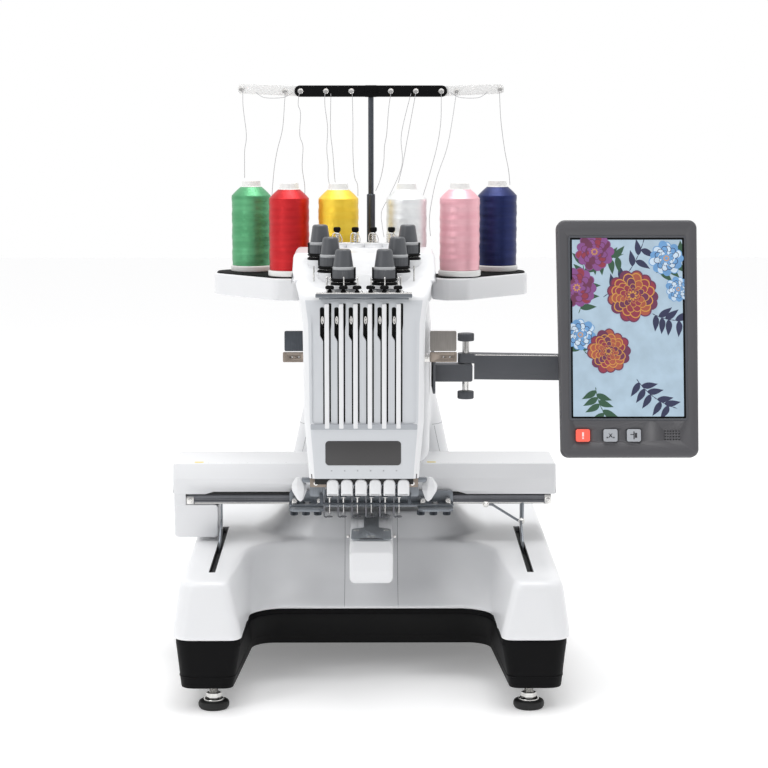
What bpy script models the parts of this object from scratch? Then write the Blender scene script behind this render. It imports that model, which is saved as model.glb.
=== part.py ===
"""Six-needle free-arm embroidery machine, in metres, +Z up.

Dimensions are written in the machine's own frame: X = 0 is the symmetry plane of the base,
Y = 0 is the front of the legs, Z = 0 is the surface it stands on. Everything hangs from one
empty, which moves that frame so that the middle of the whole object's footprint is the origin.
"""

import math

import bmesh
import bpy
from mathutils import Matrix, Vector

GAP = 0.0003  # between touching pieces

# Where the middle of the footprint lies in the machine's own frame.
MIDDLE_X = 0.0720
MIDDLE_Y = 0.2945

# Base
DEPTH = 0.589
PAN_BOTTOM = 0.029
PAN_TOP = 0.087
LEG_TOP = 0.157  # at the front; the leg tops rise backward
LEG_RISE = 0.015
BASE_WALL = 0.003
FOOT_X = 0.190
FOOT_YS = (0.025, 0.545)
SLOT_X = 0.1935
SLOT_START = 0.061
SLOT_END = 0.320
SLOT_WIDTH = 0.008

# Free arm with the rotary hook
ARM_HALF = 0.0265
ARM_FRONT = 0.0752
ARM_REAR = 0.2460
ARM_BOTTOM = 0.143
ARM_TOP = 0.1937
HOOK_Z = 0.1655

# Body
BLOCK_TOP = 0.1965
BLOCK_RISE = 0.030  # what the block's rings count up to
COLUMN_FRONT = 0.4460
HEAD_BOTTOM = 0.2780
HEAD_TOP = 0.4680
HEAD_FRONT = 0.1240

# Needle case
NEEDLES = 6
NEEDLE_PITCH = 0.017
NEEDLE_Y = 0.093
CASE_X = -0.0085
FOOT_BOTTOM = 0.2205

# Carriage
WING_LEFT = -0.2555
WING_RIGHT = 0.2385
WING_FRONT = 0.230
WING_REAR = 0.335
WING_TOP = 0.262
COVER_BOTTOM = 0.2262
RAIL_TOP = 0.2225
RAIL_BOTTOM = 0.2095

# Thread stand
TRAY_TOP = 0.500
TRAY_BOTTOM = 0.4705
MAST_Y = 0.350
BAR_Z = 0.738
SPOOL_RADIUS = 0.0262
SPOOL_HEIGHT = 0.121
SPOOLS = {
    "green": (-0.1595, 0.372),
    "red": (-0.1060, 0.290),
    "yellow": (-0.0420, 0.279),
    "white": (0.0459, 0.279),
    "pink": (0.1150, 0.290),
    "navy": (0.1685, 0.372),
}

# Panel
PIVOT_X = 0.1188
PIVOT_Y = 0.180
PANEL_CENTRE = (0.3135, 0.1200, 0.4365)
PANEL_SIZE = (0.172, 0.022, 0.291)
PANEL_LEAN = math.radians(12)
PANEL_HINGE = (0.2600, 0.1520, 0.3955)


def clear_scene():
    for obj in list(bpy.data.objects):
        bpy.data.objects.remove(obj)


def new_collection(name):
    collection = bpy.data.collections.new(name)
    bpy.context.scene.collection.children.link(collection)
    return collection


def material(name, colour, roughness, metallic=0.0):
    made = bpy.data.materials.new(name)
    made.use_nodes = True
    shader = made.node_tree.nodes["Principled BSDF"]
    shader.inputs["Base Color"].default_value = (*colour, 1)
    shader.inputs["Roughness"].default_value = roughness
    shader.inputs["Metallic"].default_value = metallic
    return made


clear_scene()
PARTS = new_collection("embroidery_machine")
CUTTERS = new_collection("cutters")
CUTTERS.hide_render = True

WHITE = material("white_shell", (0.83, 0.83, 0.84), 0.32)
BLACK = material("black_plastic", (0.012, 0.012, 0.013), 0.38)
STEEL = material("steel", (0.62, 0.62, 0.64), 0.28, 1.0)
DARK_STEEL = material("dark_steel", (0.10, 0.105, 0.12), 0.42, 0.8)
GREY = material("grey_knob", (0.15, 0.155, 0.165), 0.42)
PANEL_GREY = material("panel_grey", (0.105, 0.105, 0.115), 0.45)
CAST = material("cast_frame", (0.30, 0.31, 0.32), 0.6, 0.8)
SCREEN = material("screen_glass", (0.62, 0.74, 0.84), 0.1)
CLEAR = material("clear_arm", (0.75, 0.76, 0.74), 0.2)
RUBBER = material("rubber", (0.02, 0.02, 0.02), 0.8)
RED_LIT = material("red_button", (0.85, 0.10, 0.07), 0.35)
PALE = material("pale_button", (0.80, 0.81, 0.82), 0.35)
THREADS = {
    "green": material("green_thread", (0.06, 0.32, 0.15), 0.35),
    "red": material("red_thread", (0.45, 0.01, 0.02), 0.35),
    "yellow": material("yellow_thread", (0.85, 0.52, 0.02), 0.35),
    "white": material("white_thread", (0.78, 0.79, 0.79), 0.35),
    "pink": material("pink_thread", (0.80, 0.28, 0.33), 0.35),
    "navy": material("navy_thread", (0.01, 0.02, 0.13), 0.35),
}

ROOT = bpy.data.objects.new("machine_frame", None)
ROOT.location = (-MIDDLE_X, -MIDDLE_Y, 0)
PARTS.objects.link(ROOT)
PLACES = {ROOT: Vector((0, 0, 0))}  # where each empty lies, in the machine's frame


def link(obj, name, look, parent=ROOT, helper=False):
    """Names the object, gives it its material and puts it in the right collection."""
    obj.name = name
    for collection in list(obj.users_collection):
        collection.objects.unlink(obj)
    (CUTTERS if helper else PARTS).objects.link(obj)
    obj.hide_render = helper
    obj.display_type = "WIRE" if helper else "TEXTURED"
    obj.data.materials.clear()
    if look:
        obj.data.materials.append(look)
    obj.parent = parent
    obj.matrix_parent_inverse = Matrix.Translation(-PLACES[parent])
    return obj


def from_bmesh(name, bm, look=None, parent=ROOT, helper=False):
    mesh = bpy.data.meshes.new(name)
    bmesh.ops.recalc_face_normals(bm, faces=bm.faces)
    bm.to_mesh(mesh)
    bm.free()
    return link(bpy.data.objects.new(name, mesh), name, look, parent, helper)


def smooth(obj, angle=40):
    obj.data.shade_smooth()
    obj.data.set_sharp_from_angle(angle=math.radians(angle))
    return obj


def bevel(obj, width, segments=2, angle=30):
    modifier = obj.modifiers.new("rounded_edges", "BEVEL")
    modifier.width = width
    modifier.segments = segments
    modifier.angle_limit = math.radians(angle)
    return obj


def box(name, low, high, look=None, parent=ROOT, helper=False, rounding=0, segments=2):
    """A box between two corners, in the machine's frame."""
    bm = bmesh.new()
    size = [b - a for a, b in zip(low, high)]
    middle = [(a + b) / 2 for a, b in zip(low, high)]
    bmesh.ops.create_cube(bm, size=1)
    bmesh.ops.scale(bm, vec=size, verts=bm.verts)
    bmesh.ops.translate(bm, vec=middle, verts=bm.verts)
    obj = from_bmesh(name, bm, look, parent, helper)
    return bevel(obj, rounding, segments) if rounding else obj


def aligned(axis):
    """The turn that takes +Z to an axis letter."""
    turns = {"X": Matrix.Rotation(math.pi / 2, 4, "Y"), "Y": Matrix.Rotation(-math.pi / 2, 4, "X")}
    return turns.get(axis, Matrix.Identity(4))


def rod(name, start, length, radius, axis="Z", look=None, parent=ROOT, helper=False, tip=None, sides=16):
    """A cylinder or, with a tip radius, a cone, which starts at a point and runs along an axis."""
    bm = bmesh.new()
    top = radius if tip is None else tip
    bmesh.ops.create_cone(bm, cap_ends=True, segments=sides, radius1=radius, radius2=top, depth=length)
    place = Matrix.Translation(start) @ aligned(axis) @ Matrix.Translation((0, 0, length / 2))
    bmesh.ops.transform(bm, matrix=place, verts=bm.verts)
    return smooth(from_bmesh(name, bm, look, parent, helper))


def turned(name, profile, centre, look, parent=ROOT, helper=False, sides=20, axis="Z"):
    """A solid of revolution. The profile's (radius, height) points run from top to bottom."""
    bm = bmesh.new()
    points = [(0, profile[0][1]), *profile, (0, profile[-1][1])]
    verts = [bm.verts.new((radius, 0, height)) for radius, height in points]
    for first, second in zip(verts, verts[1:]):
        bm.edges.new((first, second))
    mesh = bpy.data.meshes.new(name)
    bm.to_mesh(mesh)
    bm.free()
    obj = link(bpy.data.objects.new(name, mesh), name, look, parent, helper)
    obj.matrix_basis = Matrix.Translation(centre) @ aligned(axis)
    screw = obj.modifiers.new("turn", "SCREW")
    screw.steps = sides
    screw.render_steps = sides
    screw.use_merge_vertices = True
    screw.merge_threshold = 0.00005
    return obj


def rounded(corners, steps=4):
    """The outline through (x, y, radius) corners, each rounded by an arc."""
    outline = []
    for index, (x, y, radius) in enumerate(corners):
        here = Vector((x, y))
        before = (Vector(corners[index - 1][:2]) - here).normalized()
        after = (Vector(corners[(index + 1) % len(corners)][:2]) - here).normalized()
        if radius == 0:
            outline.append(here)
            continue
        half = before.angle(after) / 2
        reach = radius / math.tan(half)
        centre = here + (before + after).normalized() * radius / math.sin(half)
        start = here + before * reach - centre
        end = here + after * reach - centre
        first = math.atan2(start.y, start.x)
        sweep = (math.atan2(end.y, end.x) - first + math.pi) % math.tau - math.pi
        for step in range(steps + 1):
            angle = first + sweep * step / steps
            outline.append(centre + Vector((math.cos(angle), math.sin(angle))) * radius)
    return outline


def loft(name, rings, look=None, parent=ROOT, helper=False, cap_start=True, cap_end=True):
    """Joins rings with the same number of points, each a list of (x, y, z)."""
    bm = bmesh.new()
    loops = [[bm.verts.new(point) for point in ring] for ring in rings]
    for low, high in zip(loops, loops[1:]):
        for index in range(len(low)):
            after = (index + 1) % len(low)
            bm.faces.new((low[index], low[after], high[after], high[index]))
    if cap_start:
        bm.faces.new(loops[0][::-1])
    if cap_end:
        bm.faces.new(loops[-1])
    if cap_start and cap_end:
        bmesh.ops.recalc_face_normals(bm, faces=bm.faces)
    mesh = bpy.data.meshes.new(name)
    bm.to_mesh(mesh)
    bm.free()
    return link(bpy.data.objects.new(name, mesh), name, look, parent, helper)


def plate(name, corners, low, high, plane="XY", look=None, parent=ROOT, helper=False, steps=4):
    """A flat outline in a plane, given thickness from low to high along that plane's normal."""
    outline = rounded(corners, steps)
    spots = {
        "XY": lambda a, b, c: (a, b, c),
        "XZ": lambda a, b, c: (a, -c, b),
        "YZ": lambda a, b, c: (c, a, b),
    }[plane]
    ends = (low, high) if plane != "XZ" else (-high, -low)
    rings = [[spots(point.x, point.y, end) for point in outline] for end in ends]
    return loft(name, rings, look, parent, helper)


def boolean(target, others, operation):
    for index, other in enumerate(others):
        other.parent = target.parent
        other.matrix_parent_inverse = target.matrix_parent_inverse
        modifier = target.modifiers.new(f"{operation.lower()}_{index}", "BOOLEAN")
        modifier.operation = operation
        modifier.solver = "EXACT"
        modifier.object = other
    return target


def cut(target, *cutters):
    return boolean(target, cutters, "DIFFERENCE")


def join(target, *others):
    return boolean(target, others, "UNION")


def shell(obj, thickness):
    """Gives an open skin a wall on its inner side."""
    wall = obj.modifiers.new("wall", "SOLIDIFY")
    wall.thickness = thickness
    wall.offset = -1
    wall.use_even_offset = True
    return obj


def pivot(name, at, parent=ROOT):
    """An empty on a joint's axis. Its children are still written in the machine's frame."""
    empty = bpy.data.objects.new(name, None)
    PARTS.objects.link(empty)
    empty.parent = parent
    empty.location = Vector(at) - PLACES[parent]
    PLACES[empty] = Vector(at)
    return empty


def helper_box(name, low, high, rounding=0):
    return box(name, low, high, helper=True, rounding=rounding)


def helper_rod(name, start, length, radius, axis="Z", tip=None, sides=12):
    return rod(name, start, length, radius, axis, helper=True, tip=tip, sides=sides)


# Base -----------------------------------------------------------------------------------------


def leg_outline(outer, inner, notch, notch_x, front, corner, notch_radius):
    """The base seen from above: two legs forward and a notch between them."""
    right = [(outer, front, corner), (outer, DEPTH, 0.050)]
    left = [(-x, y, radius) for x, y, radius in reversed(right)]
    inside = [(-inner, front, 0.012), (-notch_x, notch, notch_radius)]
    inside += [(-x, y, radius) for x, y, radius in reversed(inside)]
    return rounded(right + left + inside, 5)


def base_ring(share, *outline):
    """One ring of the base cover, at a share of the height between pan and leg top."""
    ring = []
    for point in leg_outline(*outline):
        top = LEG_TOP + LEG_RISE * point.y
        ring.append((point.x, point.y, PAN_TOP + GAP + share * (top - PAN_TOP)))
    return ring


def make_base_pan():
    low = leg_outline(0.229, 0.166, 0.222, 0.152, 0.008, 0.016, 0.030)
    high = leg_outline(0.2345, 0.1570, 0.166, 0.1505, 0.003, 0.018, 0.045)
    rings = [
        [(point.x, point.y, PAN_BOTTOM) for point in low],
        [(point.x, point.y, PAN_TOP - 0.006) for point in high],
        [(point.x, point.y, PAN_TOP) for point in high],
    ]
    pan = smooth(shell(loft("base_pan", rings, BLACK, cap_end=False), BASE_WALL))
    holes = [
        helper_rod(f"foot_hole_{side}_{y}", (side * FOOT_X, y, 0.020), 0.020, 0.0068)
        for side in (-1, 1)
        for y in FOOT_YS
    ]
    return cut(pan, *holes)


def make_base_shell():
    rings = [
        base_ring(0.00, 0.2380, 0.1550, 0.163, 0.1500, 0.0000, 0.020, 0.045),
        base_ring(0.05, 0.2380, 0.1550, 0.163, 0.1500, 0.0000, 0.020, 0.045),
        base_ring(0.17, 0.2376, 0.1565, 0.186, 0.1500, 0.0006, 0.020, 0.050),
        base_ring(0.40, 0.2355, 0.1605, 0.213, 0.1500, 0.0022, 0.021, 0.060),
        base_ring(0.70, 0.2325, 0.1655, 0.232, 0.1500, 0.0045, 0.022, 0.072),
        base_ring(0.90, 0.2300, 0.1690, 0.240, 0.1500, 0.0065, 0.022, 0.080),
        base_ring(0.975, 0.2270, 0.1720, 0.243, 0.1530, 0.0095, 0.021, 0.083),
        base_ring(1.00, 0.2220, 0.1765, 0.248, 0.1570, 0.0145, 0.018, 0.083),
    ]
    cover = smooth(shell(loft("base_shell", rings, WHITE, cap_start=False), BASE_WALL), 60)
    half = SLOT_WIDTH / 2
    openings = [
        helper_box(
            f"guide_slot_{side}",
            (side * SLOT_X - half, SLOT_START, 0.140),
            (side * SLOT_X + half, SLOT_END, 0.200),
        )
        for side in (-1, 1)
    ]
    reach = ARM_HALF + GAP
    openings.append(helper_box("arm_way", (-reach, 0.100, ARM_BOTTOM - GAP), (reach, 0.262, 0.215)))
    openings.append(helper_box("frame_way", (-0.080, 0.274, 0.150), (0.080, 0.560, 0.215)))
    return cut(cover, *openings)


def make_feet():
    for side, x in (("left", -FOOT_X), ("right", FOOT_X)):
        for place, y in (("front", FOOT_YS[0]), ("rear", FOOT_YS[1])):
            axis = pivot(f"foot_axis_{place}_{side}", (x, y, 0))
            profile = [
                (0.0055, 0.046),
                (0.0055, 0.0145),
                (0.0105, 0.0130),
                (0.0120, 0.0105),
                (0.0180, 0.0095),
                (0.0188, 0.0060),
                (0.0170, 0.0000),
            ]
            foot = turned(f"levelling_foot_{place}_{side}", profile, (x, y, 0), RUBBER, axis, sides=16)
            smooth(foot)


# Body -----------------------------------------------------------------------------------------


def section(y, low, high, half_low, half_high, corner=0.018):
    """One upright ring of the body at a depth y, from low to high, with its own half widths."""
    corners = [
        (half_low, low, corner),
        (half_high, high, corner),
        (-half_high, high, corner),
        (-half_low, low, corner),
    ]
    return [(point.x, y, point.y) for point in rounded(corners, 4)]


def make_body_cover():
    """The head arm, column and lower block, one shell that is open to the base and the rear."""
    head = loft(
        "body_cover",
        [
            section(HEAD_FRONT, HEAD_BOTTOM + 0.012, HEAD_TOP - 0.004, 0.066, 0.066),
            section(HEAD_FRONT + 0.020, HEAD_BOTTOM, HEAD_TOP, 0.072, 0.074),
            section(0.300, HEAD_BOTTOM, HEAD_TOP, 0.074, 0.077),
            section(0.430, HEAD_BOTTOM - 0.004, HEAD_TOP, 0.082, 0.080),
            section(0.500, HEAD_BOTTOM - 0.010, HEAD_TOP - 0.002, 0.086, 0.080),
            section(DEPTH - 0.012, HEAD_BOTTOM - 0.010, HEAD_TOP - 0.010, 0.084, 0.076),
        ],
        WHITE,
    )
    column = loft(
        "column",
        [column_ring(*row) for row in (
            (0.1900, COLUMN_FRONT - 0.006, 0.122),
            (0.2050, COLUMN_FRONT, 0.118),
            (0.2400, COLUMN_FRONT, 0.109),
            (0.2900, COLUMN_FRONT, 0.098),
            (0.3350, COLUMN_FRONT, 0.088),
            (0.4000, COLUMN_FRONT, 0.080),
        )],
        helper=True,
    )
    block = loft("block", [block_ring(*row) for row in (
        (0.0000, 0.2490, 0.150, 0.085),
        (0.0120, 0.2500, 0.128, 0.080),
        (0.0240, 0.2525, 0.116, 0.070),
        (BLOCK_RISE, 0.2580, 0.106, 0.060),
    )], helper=True)
    join(head, column, block)
    inside = [
        helper_box("head_inside", (-0.068, HEAD_FRONT + 0.010, 0.286), (0.068, 0.600, 0.460)),
        helper_box("column_inside", (-0.078, COLUMN_FRONT + 0.005, 0.150), (0.078, 0.600, 0.300)),
        helper_box("block_inside", (-0.078, 0.274, 0.150), (0.078, 0.600, BLOCK_TOP - 0.004)),
        helper_rod("shaft_way", (0, 0.100, 0.330), 0.050, 0.0080, "Y"),
        helper_rod("hook_shaft_way", (0, ARM_REAR - 0.010, HOOK_Z), 0.050, 0.0050, "Y"),
    ]
    return smooth(cut(head, *inside), 50)


def column_ring(z, front, half):
    corners = [(half, front, 0.030), (half * 0.97, DEPTH - 0.012, 0.020)]
    corners += [(-x, y, radius) for x, y, radius in reversed(corners)]
    return [(point.x, point.y, z) for point in rounded(corners, 4)]


def block_ring(rise, front, half, corner):
    """One ring of the low block under the carriage, level with the rising leg tops."""
    corners = [(half, front, corner), (half, DEPTH - 0.015, 0.020)]
    corners += [(-x, y, radius) for x, y, radius in reversed(corners)]
    ring = []
    for point in rounded(corners, 6):
        bottom = LEG_TOP + LEG_RISE * point.y + 2 * GAP
        level = bottom + (BLOCK_TOP - bottom) * rise / BLOCK_RISE
        ring.append((point.x, point.y, level))
    return ring


def make_rear_cover():
    cover = box(
        "rear_cover",
        (-0.0765, DEPTH - 0.0115, 0.205),
        (0.0765, DEPTH, 0.452),
        WHITE,
        rounding=0.004,
    )
    vents = [
        helper_box(f"vent_{row}", (-0.045, DEPTH - 0.020, z), (0.045, DEPTH + 0.010, z + 0.004))
        for row, z in enumerate(0.240 + 0.012 * step for step in range(6))
    ]
    return cut(cover, *vents)


def make_frame_casting():
    """The cast frame inside: a foot, a column and a head beam."""
    casting = box("frame_casting", (-0.060, 0.480, 0.100), (0.060, 0.500, 0.400), CAST)
    beam = helper_box("beam", (-0.050, 0.150, 0.385), (0.050, 0.490, 0.400))
    foot = helper_box("casting_foot", (-0.120, 0.300, 0.0905), (0.120, 0.560, 0.104))
    return join(casting, beam, foot)


def make_main_motor():
    motor = rod("main_motor", (0.028, 0.505, 0.250), 0.060, 0.026, "Y", DARK_STEEL, sides=20)
    return motor


def make_main_shaft():
    axis = pivot("main_shaft_axis", (0, 0.300, 0.330))
    profile = [
        (0.0050, 0.4700),
        (0.0050, 0.3600),
        (0.0250, 0.3600),
        (0.0250, 0.3440),
        (0.0050, 0.3440),
        (0.0050, 0.1450),
        (0.0150, 0.1450),
        (0.0150, 0.1380),
    ]
    return turned("main_shaft", profile, (0, 0, 0.330), STEEL, axis, sides=16, axis="Y")


# Free arm -------------------------------------------------------------------------------------


def make_free_arm():
    arm = box(
        "cylinder_arm_cover",
        (-ARM_HALF, ARM_FRONT, ARM_BOTTOM),
        (ARM_HALF, ARM_REAR, ARM_TOP),
        WHITE,
        rounding=0.006,
        segments=3,
    )
    bore = helper_box("arm_bore", (-0.0215, 0.050, 0.1465), (0.0215, 0.300, 0.1870))
    mouth = helper_rod("needle_way", (0, NEEDLE_Y, 0.180), 0.030, 0.004)
    cut(arm, bore, mouth)
    front = 0.0765
    corners = [
        (0.0095, ARM_REAR - 0.001, 0.001),
        (-0.0095, ARM_REAR - 0.001, 0.001),
        (-0.0095, 0.1500, 0.006),
        (-0.0245, 0.1420, 0.010),
        (-0.0250, front, 0.012),
        (0.0250, front, 0.012),
        (0.0245, 0.1420, 0.010),
        (0.0095, 0.1500, 0.006),
    ]
    needle_plate = plate("needle_plate", corners, ARM_TOP + GAP, ARM_TOP + 0.0018, look=STEEL)
    cut(needle_plate, helper_rod("needle_hole", (0, NEEDLE_Y, 0.190), 0.010, 0.0016, sides=10))
    hinge = pivot("hook_cover_hinge", (0, 0.0700, ARM_BOTTOM + 0.001))
    cover = box(
        "hook_cover",
        (-ARM_HALF, 0.0600, ARM_BOTTOM),
        (ARM_HALF, ARM_FRONT - GAP, ARM_TOP),
        WHITE,
        hinge,
        rounding=0.006,
        segments=3,
    )
    cut(cover, helper_box("cover_inside", (-0.0215, 0.0640, 0.1480), (0.0215, 0.090, 0.1870)))


def make_hook():
    axis = pivot("hook_axis", (0, 0.0900, HOOK_Z))
    profile = [
        (0.0030, 0.4400),
        (0.0030, 0.1120),
        (0.0100, 0.1100),
        (0.0165, 0.1050),
        (0.0165, 0.0850),
        (0.0130, 0.0850),
        (0.0130, 0.0960),
    ]
    hook = turned("rotary_hook", profile, (0, 0, HOOK_Z), STEEL, axis, sides=20, axis="Y")
    case = [
        (0.0110, 0.0955),
        (0.0125, 0.0950),
        (0.0125, 0.0790),
        (0.0030, 0.0790),
        (0.0030, 0.0760),
    ]
    turned("bobbin_case", case, (0, 0, HOOK_Z), STEEL, sides=20, axis="Y")
    return hook


# Carriage -------------------------------------------------------------------------------------


def make_carriage():
    axis = pivot("carriage_travel", ((WING_LEFT + WING_RIGHT) / 2, WING_FRONT, WING_TOP))
    profile = [
        (WING_FRONT, COVER_BOTTOM, 0),
        (WING_REAR, COVER_BOTTOM - 0.014, 0),
        (WING_REAR, WING_TOP, 0.006),
        (WING_FRONT + 0.0065, WING_TOP, 0.002),
        (WING_FRONT, WING_TOP - 0.0190, 0.004),
    ]
    housing = plate(
        "carriage_housing", profile, WING_LEFT, WING_RIGHT, "YZ", WHITE, axis, steps=3
    )
    inside = helper_box(
        "wing_inside",
        (WING_LEFT + 0.0025, WING_FRONT + 0.0090, 0.190),
        (WING_RIGHT - 0.0025, WING_REAR - 0.0025, WING_TOP - 0.0025),
    )
    end_box = helper_box("end_box", (WING_LEFT + 0.0015, 0.2312, 0.166), (-0.1975, 0.300, 0.2088), 0.003)
    end_wall = helper_box("end_wall", (WING_LEFT + 0.0015, 0.2312, 0.190), (-0.2390, 0.300, 0.240))
    smooth(join(cut(housing, inside), end_box, end_wall))

    rail = box(
        "carriage_rail", (-0.2370, 0.2332, RAIL_BOTTOM), (0.2320, 0.2600, RAIL_TOP), DARK_STEEL, axis
    )
    blade = [
        (0.2340, RAIL_BOTTOM + 0.002, 0),
        (0.2340, 0.190, 0),
        (0.1900, 0.168, 0),
        (0.1900, 0.140, 0),
        (0.2000, 0.140, 0),
        (0.2420, 0.182, 0),
        (0.2420, RAIL_BOTTOM + 0.002, 0),
    ]
    brackets = []
    for side in (-1, 1):
        low, high = side * SLOT_X - 0.0012, side * SLOT_X + 0.0012
        brackets.append(plate(f"blade_{side}", blade, low, high, "YZ", helper=True))
    stay = [
        (0.1450, RAIL_BOTTOM + 0.002, 0),
        (0.1450, 0.2065, 0),
        (0.1925, 0.184, 0),
        (0.1925, 0.188, 0),
        (0.1600, RAIL_BOTTOM + 0.002, 0),
    ]
    brackets.append(plate("stay", stay, 0.2345, 0.2375, "XZ", helper=True))
    join(rail, *brackets)
    make_frame_holder(axis)


THUMBSCREW_Y = 0.190


def make_frame_holder(carriage):
    axis = pivot("frame_holder_travel", (0, 0.215, 0.2140), carriage)
    holder = box("frame_holder", (-0.1050, 0.1950, 0.2130), (0.1050, 0.2200, 0.2155), STEEL, axis)
    extras = [helper_box("holder_front", (-0.1050, 0.2180, 0.2130), (0.1050, 0.2270, 0.2290))]
    for side, screws in ((-1, (-0.098, -0.083, -0.068)), (1, (0.063, 0.079, 0.096))):
        inner, outer = sorted((side * 0.060, side * 0.104))
        extras.append(helper_box(f"holder_arm_{side}", (inner, 0.176, 0.2095), (outer, 0.2010, 0.2140)))
        for x in screws:
            extras.append(
                helper_rod(f"thumbscrew_{x}", (x, THUMBSCREW_Y, 0.2035), 0.0075, 0.0050, sides=10)
            )
    join(holder, *extras)


# Needle case ----------------------------------------------------------------------------------


def case_ring(z, half, front, rear, corner=0.010):
    corners = [
        (CASE_X + half, front, corner),
        (CASE_X + half, rear, 0.004),
        (CASE_X - half, rear, 0.004),
        (CASE_X - half, front, corner),
    ]
    return [(point.x, point.y, z) for point in rounded(corners, 4)]


CASE_RINGS = (
    (0.2775, 0.0660, 0.0370),
    (0.3000, 0.0675, 0.0340),
    (0.3450, 0.0712, 0.0322),
    (0.4200, 0.0722, 0.0320),
    (0.4650, 0.0728, 0.0325),
    (0.4920, 0.0765, 0.0360),
    (0.5010, 0.0785, 0.0460),
    (0.5180, 0.0850, 0.0800),
    (0.5240, 0.0860, 0.0890),
)
CASE_REAR = 0.1135
CASE_TOP_REAR = 0.2450

# Each pair of knobs: distance from the case's middle, depth, height of its seat.
KNOB_SEATS = ((0.0245, 0.0550, 0.5090), (0.0402, 0.0838, 0.5215), (0.0532, 0.1138, 0.5345))


def needle_x(index):
    return (index - 3) * NEEDLE_PITCH


def make_case_shell(axis):
    rings = [case_ring(z, half, front, CASE_REAR) for z, half, front in CASE_RINGS]
    shell_solid = loft("needle_case_shell", rings, WHITE, axis)
    deck = box(
        "top_deck",
        (CASE_X - 0.0868, 0.0900, 0.5150),
        (CASE_X + 0.0868, CASE_TOP_REAR, 0.5410),
        helper=True,
        rounding=0.008,
    )
    seats = [
        helper_rod(f"knob_seat_{side}_{row}", (CASE_X + side * out, y, 0.505), z - 0.505, 0.0115)
        for row, (out, y, z) in enumerate(KNOB_SEATS)
        for side in (-1, 1)
    ]
    join(shell_solid, deck, *seats)
    inside = [
        helper_box("case_inside", (CASE_X - 0.0625, 0.0370, 0.270), (CASE_X + 0.0625, 0.120, 0.488)),
        helper_box("deck_inside", (CASE_X - 0.0780, 0.1335, 0.500), (CASE_X + 0.0780, 0.260, 0.5370)),
    ]
    for row, (_, y, z) in enumerate(KNOB_SEATS):
        inside.append(helper_box(f"knob_terrace_{row}", (-0.200, 0.020, z), (0.200, y + 0.0168, 0.560)))
    for index in range(NEEDLES):
        x = needle_x(index)
        lever, bar = x - 0.0065, x + 0.0024
        inside.append(
            helper_box(
                f"lever_wide_{index}", (lever - 0.0021, 0.020, 0.449), (lever + 0.0021, 0.040, 0.4840)
            )
        )
        inside.append(
            helper_box(
                f"lever_thin_{index}", (lever - 0.0011, 0.020, 0.345), (lever + 0.0011, 0.040, 0.4500)
            )
        )
        inside.append(
            helper_box(f"bar_wide_{index}", (bar - 0.0017, 0.020, 0.462), (bar + 0.0017, 0.040, 0.4885))
        )
        inside.append(
            helper_box(f"bar_thin_{index}", (bar - 0.0008, 0.020, 0.345), (bar + 0.0008, 0.040, 0.4630))
        )
    return smooth(cut(shell_solid, *inside), 50)


def make_case_frame(axis):
    frame = box(
        "needle_case_frame", (CASE_X - 0.0600, 0.0550, 0.2660), (CASE_X + 0.0600, 0.1100, 0.2765), CAST,
        axis,
    )
    extras = [helper_box("case_back", (CASE_X - 0.0600, 0.1060, 0.2660), (CASE_X + 0.0600, 0.1130, 0.4700))]
    for side in (-1, 1):
        x = CASE_X + side * 0.0775
        inner, outer = sorted((x, CASE_X + side * 0.050))
        extras.append(helper_box(f"pod_arm_{side}", (inner, 0.0770, 0.2670), (outer, 0.0830, 0.2720)))
        pod = [(0.0030, 0.2710), (0.0090, 0.2640), (0.0095, 0.2580), (0.0020, 0.2425)]
        extras.append(turned(f"lamp_pod_{side}", pod, (x, 0.0800, 0), None, helper=True, sides=8))
        inner, outer = sorted((CASE_X + side * 0.0470, CASE_X + side * 0.0650))
        extras.append(helper_box(f"corner_plate_{side}", (inner, 0.0520, 0.2680), (outer, 0.0560, 0.2770)))
    join(frame, *extras)
    holes = [
        helper_rod(f"bar_way_{index}", (needle_x(index), NEEDLE_Y, 0.250), 0.040, 0.0036)
        for index in range(NEEDLES)
    ]
    cut(frame, *holes)


def make_guide_plate(axis):
    guide = box(
        "thread_guide_plate",
        (CASE_X - 0.0570, 0.0270, 0.4935),
        (CASE_X + 0.0570, 0.0352, 0.5020),
        STEEL,
        axis,
    )
    studs = [
        helper_rod(
            f"guide_stud_{index}", (CASE_X + (index - 2.5) * 0.0155, 0.0312, 0.5005), 0.0095, 0.0034,
            sides=10,
        )
        for index in range(6)
    ]
    join(guide, *studs)


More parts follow.
